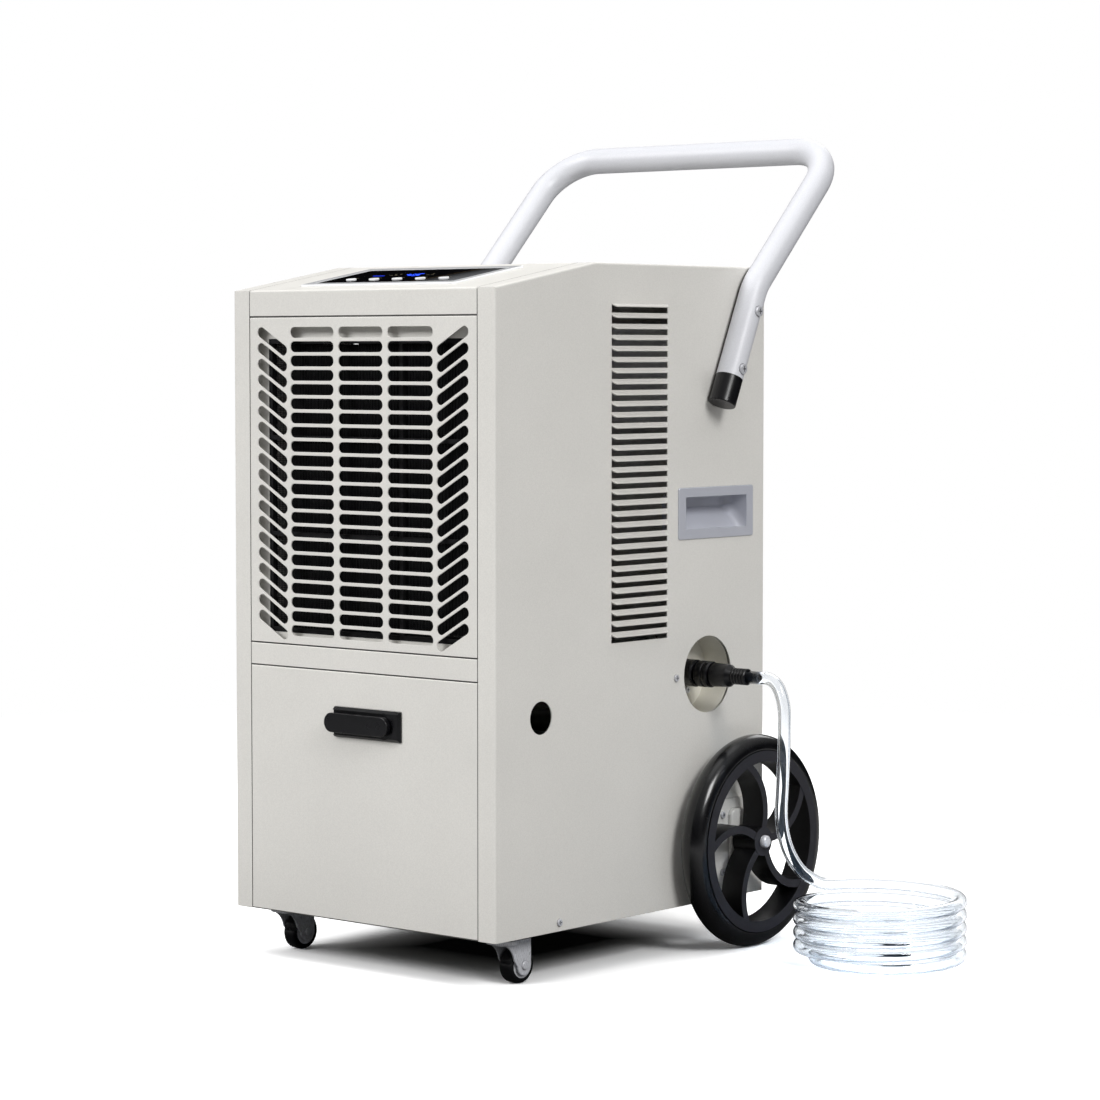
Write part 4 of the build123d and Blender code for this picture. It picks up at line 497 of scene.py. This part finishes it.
def tyre_section(tread_r):
    """Round section of a tyre as (x, radius) about its middle plane, flat where it sits on the rim."""
    rim_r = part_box("rim_right")[1].z - JOINTS["wheel_right_spin"]["pos_m"][2]
    centre_r = tread_r - TYRE_SECTION_R
    dip = math.asin((rim_r - centre_r) / TYRE_SECTION_R)
    angles = [dip + (math.pi - 2 * dip) * k / CROWN_STEPS for k in range(CROWN_STEPS + 1)]
    crown = [(TYRE_SECTION_R * math.cos(a), centre_r + TYRE_SECTION_R * math.sin(a)) for a in angles]
    seat = [(crown[-1][0] * (1 - 2 * k / SEAT_STEPS), rim_r) for k in range(1, SEAT_STEPS)]
    return crown + seat


def build_tyre(side):
    """Smooth tyre turned about its wheel's axle."""
    joint = JOINTS[f"wheel_{side}_spin"]
    low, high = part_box(f"tyre_{side}")
    hub = Vector(joint["pos_m"])
    middle = (low.x + high.x) / 2
    section = tyre_section((high.z - low.z) / 2)
    count = len(section)
    verts, faces = [], []
    for turn in range(TYRE_TURNS):
        a = 2 * math.pi * turn / TYRE_TURNS
        for x, radius in section:
            verts.append((middle + x, hub.y + radius * math.cos(a), hub.z + radius * math.sin(a)))
        here = turn * count
        there = (turn + 1) % TYRE_TURNS * count
        for k in range(count):
            after = (k + 1) % count
            faces.append((here + k, here + after, there + after, there + k))
    rubber = MATERIALS["tyre_black"]
    tyre = new_mesh(f"turned_tyre_{side}", verts, faces, joint["child"], rubber, True)
    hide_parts(f"tyre_{side}")


for side in ("left", "right"):
    build_tyre(side)


# ---------------------------------------------------------------- air filter
FILTER_BORDER = 5 * MM
FILTER_CELLS = 3
NET_PITCH = 2.4 * MM
NET_WIRE = 0.4 * MM
NET_SETBACK = 1.5 * MM


def add_box(verts, faces, low, high):
    """Add one closed box between two corners."""
    base = len(verts)
    for z in (low[2], high[2]):
        for x, y in ((low[0], low[1]), (high[0], low[1]), (high[0], high[1]), (low[0], high[1])):
            verts.append((x, y, z))
    for quad in ((3, 2, 1, 0), (4, 5, 6, 7), (0, 1, 5, 4), (1, 2, 6, 5), (2, 3, 7, 6), (3, 0, 4, 7)):
        faces.append(tuple(base + k for k in quad))


def build_filter_frame():
    """Border and bars of the filter, as one mesh of boxes that meet face to face."""
    low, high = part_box("air_filter")
    verts, faces = [], []
    step_x = (high.x - low.x - FILTER_BORDER) / FILTER_CELLS
    step_z = (high.z - low.z - FILTER_BORDER) / FILTER_CELLS
    for k in range(FILTER_CELLS + 1):
        x = low.x + k * step_x
        add_box(verts, faces, (x, low.y, low.z), (x + FILTER_BORDER, high.y, high.z))
        z = low.z + k * step_z
        for cell in range(FILTER_CELLS):
            left = low.x + cell * step_x + FILTER_BORDER
            right = left + step_x - FILTER_BORDER
            add_box(verts, faces, (left, low.y, z), (right, high.y, z + FILTER_BORDER))
    new_mesh("filter_frame", verts, faces, "cabinet", MATERIALS["filter_black"])


def build_filter_net():
    """Net of crossing strands, one layer behind the other, near the rear of the frame."""
    low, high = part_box("air_filter")
    verts, faces = [], []
    half = NET_WIRE / 2
    upright_y = high.y - NET_SETBACK
    level_y = upright_y - NET_WIRE
    across = round((high.x - low.x) / NET_PITCH)
    for k in range(1, across):
        x = low.x + (high.x - low.x) * k / across
        add_box(verts, faces, (x - half, upright_y, low.z), (x + half, upright_y + NET_WIRE, high.z))
    upward = round((high.z - low.z) / NET_PITCH)
    for k in range(1, upward):
        z = low.z + (high.z - low.z) * k / upward
        add_box(verts, faces, (low.x, level_y, z - half), (high.x, level_y + NET_WIRE, z + half))
    net = new_mesh("filter_net", verts, faces, "cabinet", MATERIALS["filter_black"])
    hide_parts("air_filter")


build_filter_frame()
build_filter_net()


# ---------------------------------------------------------------- clear drain hose
HOSE_R = 7.5 * MM
HOSE_BORE_R = 5.56 * MM
HOSE_SIDES = 28
RING_STEP = 3.5 * MM
COIL_R = 92 * MM
COIL_STEP = 20
COIL_TOP_Z = 78 * MM
COIL_PITCH = 15.2 * MM
COIL_START = 170
COIL_END = 180 - 4 * 360 - 320
TUCK_ANGLE = 150
TUCK_DEPTH = 16 * MM


def rounded_path(stops, step, share=0.48):
    """Points along the straight lines through the stops, with each corner rounded by an arc."""
    path = [stops[0]]
    for before, corner, after in zip(stops, stops[1:], stops[2:]):
        back = (before - corner).normalized()
        onward = (after - corner).normalized()
        half_turn = (math.pi - back.angle(onward)) / 2
        reach = share * min((before - corner).length, (after - corner).length)
        radius = reach / math.tan(half_turn)
        middle = corner + (back + onward).normalized() * radius / math.cos(half_turn)
        first = (corner + back * reach - middle).normalized()
        last = (corner + onward * reach - middle).normalized()
        count = max(2, math.ceil(2 * half_turn * radius / step))
        path += [middle + first.slerp(last, k / count) * radius for k in range(count + 1)]
    return path + [stops[-1]]


def sweep_rings(path, radius, sides):
    """Circles of vertices square to a path, without twist."""
    before = path[:1] + path[:-1]
    after = path[1:] + path[-1:]
    tangents = [(b - a).normalized() for a, b in zip(before, after)]
    normal = tangents[0].orthogonal().normalized()
    verts = []
    for point, tangent in zip(path, tangents):
        normal = (normal - tangent * normal.dot(tangent)).normalized()
        other = tangent.cross(normal)
        for k in range(sides):
            a = 2 * math.pi * k / sides
            verts.append(point + radius * (math.cos(a) * normal + math.sin(a) * other))
    return verts


def hose_centre_line():
    """Corners from the drain plug down to the floor, round the coil from its top turn, and into it."""
    plug_low, plug_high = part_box("drain_plug")
    port = (plug_low + plug_high) / 2
    hose_low, hose_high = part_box("drain_hose")
    coil = hose_high - Vector((COIL_R + HOSE_R, COIL_R + HOSE_R, 0))
    floor_z = hose_low.z + HOSE_R
    drop = [
        (298, 0, 0),
        (311, 0, -27.5),
        (311, 0, -77.5),
        (309, 0, -117.5),
        (306.5, 0, -155.5),
        (307, 5, -183.5),
        (309, 17, -207.5),
        (311.5, 36, -227.5),
    ]
    stops = [Vector((hose_low.x, port.y, port.z))]
    stops += [Vector((x * MM, port.y + y * MM, port.z + z * MM)) for x, y, z in drop]
    corner_r = COIL_R / math.cos(math.radians(COIL_STEP / 2))
    angle = COIL_START
    while angle > COIL_END:
        tuck = min(max(1 - (angle - COIL_END) / TUCK_ANGLE, 0), 1)
        radius = corner_r - TUCK_DEPTH * tuck * tuck * (3 - 2 * tuck)
        height = max(COIL_TOP_Z - (180 - angle) / 360 * COIL_PITCH, floor_z)
        a = math.radians(angle)
        stops.append(Vector((coil.x + radius * math.cos(a), coil.y + radius * math.sin(a), height)))
        angle -= COIL_STEP
    for x, y in ((-69, -28), (-71, -4), (-60, 18), (-36, 27), (20, 27)):
        stops.append(Vector((coil.x + x * MM, coil.y + y * MM, floor_z)))
    return stops


def build_hose():
    path = rounded_path(hose_centre_line(), RING_STEP)
    outer = sweep_rings(path, HOSE_R, HOSE_SIDES)
    inner = sweep_rings(path, HOSE_BORE_R, HOSE_SIDES)
    rings = len(path)
    faces = []
    for ring in range(rings - 1):
        for k in range(HOSE_SIDES):
            here, there = ring * HOSE_SIDES + k, ring * HOSE_SIDES + (k + 1) % HOSE_SIDES
            faces.append((here, there, there + HOSE_SIDES, here + HOSE_SIDES))
            base = len(outer)
            faces.append((base + here, base + here + HOSE_SIDES, base + there + HOSE_SIDES, base + there))
    last = (rings - 1) * HOSE_SIDES
    for k in range(HOSE_SIDES):
        turn = (k + 1) % HOSE_SIDES
        base = len(outer)
        faces.append((turn, k, base + k, base + turn))
        faces.append((last + k, last + turn, base + last + turn, base + last + k))
    vinyl = MATERIALS["clear_tube"]
    hose = new_mesh("clear_hose", outer + inner, faces, "cabinet", vinyl, True)
    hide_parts("drain_hose")


build_hose()


# ---------------------------------------------------------------- display figures
PANEL_UP = -Vector(JOINTS["button_power_press"]["axis"]).normalized()
PANEL_X = Vector((1, 0, 0))
PANEL_Y = PANEL_UP.cross(PANEL_X).normalized()


def glass_top_centre():
    """Middle of the display window's top face."""
    corners = [v.co for v in NODES["control_glass"].data.vertices]
    height = max(co.dot(PANEL_UP) for co in corners)
    along = [co.dot(PANEL_Y) for co in corners if co.dot(PANEL_UP) > height - 0.01 * MM]
    return PANEL_UP * height + PANEL_Y * (min(along) + max(along)) / 2


GLASS = glass_top_centre()
INK_BASE = 0.01 * MM
INK_TOP = 0.06 * MM


def prism(verts, faces, outline):
    """Add a thin closed slab with the given outline, in millimetres across and up the window."""
    base = len(verts)
    count = len(outline)
    for lift in (INK_BASE, INK_TOP):
        for x, y in outline:
            verts.append(GLASS + PANEL_X * x * MM + PANEL_Y * y * MM + PANEL_UP * lift)
    faces.append(tuple(base + k for k in reversed(range(count))))
    faces.append(tuple(base + count + k for k in range(count)))
    for k in range(count):
        turn = (k + 1) % count
        faces.append((base + k, base + turn, base + count + turn, base + count + k))


def bar(x, y, w, h):
    return [(x - w / 2, y - h / 2), (x + w / 2, y - h / 2), (x + w / 2, y + h / 2), (x - w / 2, y + h / 2)]


def round_dot(x, y, r, sides=14):
    angles = [2 * math.pi * k / sides for k in range(sides)]
    return [(x + r * math.cos(a), y + r * math.sin(a)) for a in angles]


def segment_digit(x, y, lit_segments, w=8.0, h=15.0, t=1.7):
    """Outlines of a seven-segment figure; segments are named a to g, clockwise from the top."""
    reach = h / 4
    places = {
        "a": bar(x, y + h / 2, w - t, t),
        "b": bar(x + w / 2, y + reach, t, h / 2 - t),
        "c": bar(x + w / 2, y - reach, t, h / 2 - t),
        "d": bar(x, y - h / 2, w - t, t),
        "e": bar(x - w / 2, y - reach, t, h / 2 - t),
        "f": bar(x - w / 2, y + reach, t, h / 2 - t),
        "g": bar(x, y, w - t, t),
    }
    return [places[s] for s in lit_segments]


def figures(name, outlines, mat):
    verts, faces = [], []
    for outline in outlines:
        prism(verts, faces, outline)
    return new_mesh(name, verts, faces, "cabinet", mat)


digits = segment_digit(-8, 6, "fgbc") + segment_digit(5, 6, "afgcd")
figures("display_digits", digits, lit("digit_blue", (40, 80, 255), 3.0))
figures("display_level", [bar(-52, 2, 17, 3.0)], lit("level_blue", (30, 60, 230), 1.6))
marks = [bar(x, 4, 4.0, 1.2) for x in (-34, -27, 22, 29)]
marks += [round_dot(x, 12, 1.3) for x in (-34, -26, 24)]
marks += [bar(x * 35.5, -14.5, 6.0, 0.9) for x in (-2, -1, 0, 1, 2)]
figures("display_marks", marks, lit("mark_pale", (190, 180, 150), 0.25))


# ---------------------------------------------------------------- floor, light, camera
def seen_directly(tree):
    """1 for rays that look straight at a surface or through clear plastic, 0 for light bouncing about."""
    path = tree.nodes.new("ShaderNodeLightPath")
    return maths(tree, "MAXIMUM", path.outputs["Is Camera Ray"], path.outputs["Is Transmission Ray"])


def sight_line(tree, direction, sign):
    """How far a ray still runs along the camera's line of sight: 1 straight on, 0 square to it."""
    turned = tree.nodes.new("ShaderNodeVectorTransform")
    turned.vector_type = "VECTOR"
    turned.convert_from = "WORLD"
    turned.convert_to = "CAMERA"
    tree.links.new(direction, turned.inputs[0])
    _, _, forward = split_axes(tree, turned.outputs[0])
    return maths(tree, "MULTIPLY", forward, sign)


WHITE = (1, 1, 1, 1)
ROOM_SIDE = (0.09, 0.14, 0.20, 1)


def through_hose(tree, onward):
    """White, but blue-grey where clear plastic bends the view towards the sides of the room."""
    path = tree.nodes.new("ShaderNodeLightPath")
    straight = fit_range(tree, onward, 0.0, 1.0, 0.45, 0.97)
    refracted = mix_colour(tree, straight, ROOM_SIDE, WHITE)
    return mix_colour(tree, path.outputs["Is Transmission Ray"], WHITE, refracted)


FRONT_SHARE = 0.75


def past_footprint(tree):
    """Metres past the cabinet's outline on the floor, less than true in front and negative underneath."""
    x, y, _ = split_axes(tree, object_coords(tree))
    low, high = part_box("base_tray")
    past_x = maths(tree, "SUBTRACT", maths(tree, "ABSOLUTE", x), high.x)
    past_front = maths(tree, "MULTIPLY", maths(tree, "SUBTRACT", low.y, y), FRONT_SHARE)
    past_y = maths(tree, "MAXIMUM", past_front, maths(tree, "SUBTRACT", y, high.y))
    gap_x = maths(tree, "MAXIMUM", past_x, 0.0)
    gap_y = maths(tree, "MAXIMUM", past_y, 0.0)
    squares = maths(tree, "ADD", maths(tree, "MULTIPLY", gap_x, gap_x), maths(tree, "MULTIPLY", gap_y, gap_y))
    within = maths(tree, "MINIMUM", maths(tree, "MAXIMUM", past_x, past_y), 0.0)
    return maths(tree, "ADD", maths(tree, "SQRT", squares), within)


def ramp(tree, value, start, end, stops):
    """Grey level read off a few stops, each a share of the way from start to end with its level."""
    node = tree.nodes.new("ShaderNodeFloatCurve")
    curve = node.mapping.curves[0]
    top = max(level for _, level in stops)
    for _ in stops[2:]:
        curve.points.new(0.5, 0.5)
    for point, (share, level) in zip(sorted(curve.points, key=lambda p: p.location.x), stops):
        point.location = (share, level / top)
        point.handle_type = "VECTOR"
    node.mapping.update()
    feed(tree, node.inputs["Value"], fit_range(tree, value, 0.0, 1.0, start, end))
    return maths(tree, "MULTIPLY", node.outputs["Value"], top)


FLOOR_HALF = 12.0
FLOOR_Z = -0.3 * MM
SHADE_REACH = (-0.13, 0.07)
SHADE_STOPS = ((0.0, 0.04), (0.22, 0.6), (0.4, 1.05), (0.65, 1.3), (1.0, 1.5))
BOUNCE_REACH = (0.0, 0.8)
BOUNCE_STOPS = ((0.0, 0.04), (1.0, 0.55))
FADE_REACH = (0.8, 2.4)


def build_floor():
    """White studio paper: bright to look at, with a painted shadow under and round the cabinet's footprint, and it
    throws little light back up under the cabinet.
    """
    mesh = bpy.data.meshes.new("floor")
    ends = (-FLOOR_HALF, FLOOR_HALF)
    corners = [(x, y, FLOOR_Z) for y in ends for x in ends]
    mesh.from_pydata(corners, [], [(0, 1, 3, 2)])
    floor = bpy.data.objects.new("floor", mesh)
    bpy.context.scene.collection.objects.link(floor)
    mat, tree, shader = new_material("studio_floor")
    outside = past_footprint(tree)
    # Painted shadow: the paper's brightness follows the distance past the cabinet's footprint.
    footprint_shadow = ramp(tree, outside, *SHADE_REACH, SHADE_STOPS)
    cloud = fit_range(tree, noise(tree, 600 * MM, 2.0), 0.985, 1.015)
    shadowed_paper = maths(tree, "MULTIPLY", footprint_shadow, cloud)
    bounce = ramp(tree, outside, *BOUNCE_REACH, BOUNCE_STOPS)
    incoming = tree.nodes.new("ShaderNodeNewGeometry").outputs["Incoming"]
    tint = through_hose(tree, sight_line(tree, incoming, -1))
    seen = seen_directly(tree)
    looked_at = mix_colour(tree, 1.0, tint, shadowed_paper, "MULTIPLY")
    paper = tree.nodes.new("ShaderNodeBsdfDiffuse")
    feed(tree, paper.inputs["Color"], mix_colour(tree, seen, bounce, looked_at))
    glow = tree.nodes.new("ShaderNodeEmission")
    feed(tree, glow.inputs["Color"], tint)
    feed(tree, glow.inputs["Strength"], seen)
    fade = tree.nodes.new("ShaderNodeMixShader")
    feed(tree, fade.inputs[0], fit_range(tree, outside, 0.0, 1.0, *FADE_REACH))
    tree.links.new(paper.outputs[0], fade.inputs[1])
    tree.links.new(glow.outputs[0], fade.inputs[2])
    tree.links.new(fade.outputs[0], tree.nodes["Material Output"].inputs["Surface"])
    tree.nodes.remove(shader)
    mesh.materials.append(mat)


def area_light(name, place, target, size, watts):
    data = bpy.data.lights.new(name, "AREA")
    data.shape = "RECTANGLE"
    data.size, data.size_y = size
    data.energy = watts
    lamp = bpy.data.objects.new(name, data)
    lamp.location = place
    lamp.rotation_euler = (Vector(target) - Vector(place)).to_track_quat("-Z", "Y").to_euler()
    bpy.context.scene.collection.objects.link(lamp)


def build_light():
    """White room: plain white to look at, darker downwards for the light and in reflections."""
    world = bpy.data.worlds.new("studio")
    world.use_nodes = True
    tree = world.node_tree
    path = tree.nodes.new("ShaderNodeLightPath")
    _, _, height = split_axes(tree, tree.nodes.new("ShaderNodeTexCoord").outputs["Generated"])
    polished = fit_range(tree, height, 0.0, 0.6, 0.25, 1.0)
    matt = fit_range(tree, height, 0.15, 0.95, 0.0, 1.0)
    strength = tree.nodes.new("ShaderNodeMix")
    feed(tree, strength.inputs[0], path.outputs["Is Glossy Ray"])
    feed(tree, strength.inputs[2], matt)
    feed(tree, strength.inputs[3], polished)
    onward = sight_line(tree, tree.nodes.new("ShaderNodeTexCoord").outputs["Generated"], 1)
    seen = through_hose(tree, onward)
    background = tree.nodes["Background"]
    feed(tree, background.inputs["Color"], mix_colour(tree, seen_directly(tree), strength.outputs[0], seen))
    bpy.context.scene.world = world
    middle = (0, 0, 0.4)
    area_light("top_box", (0, 0.2, 4.6), (0, 0, 0), (4.0, 4.0), 30)
    area_light("front_box", (-3.2, -6.4, 5.0), middle, (3.6, 3.0), 475)
    area_light("side_box", (6.8, -1.6, 5.2), middle, (2.6, 3.0), 375)
    area_light("back_box", (-2.5, 6.5, 4.6), middle, (3.6, 3.0), 76)


CAMERA_PLACE = (2.5703, -2.9544, 0.6975)
CAMERA_TILT = 86.633
CAMERA_TURN = 40.22
CAMERA_LENS = 109.3
CAMERA_SENSOR = 36.0


def build_camera():
    """The photograph's viewpoint."""
    data = bpy.data.cameras.new("camera")
    data.sensor_width = CAMERA_SENSOR
    data.lens = CAMERA_LENS
    camera = bpy.data.objects.new("camera", data)
    camera.location = CAMERA_PLACE
    camera.rotation_euler = (math.radians(CAMERA_TILT), 0, math.radians(CAMERA_TURN))
    bpy.context.scene.collection.objects.link(camera)
    bpy.context.scene.camera = camera


build_floor()
build_light()
build_camera()
bpy.context.scene.view_settings.view_transform = "Standard"
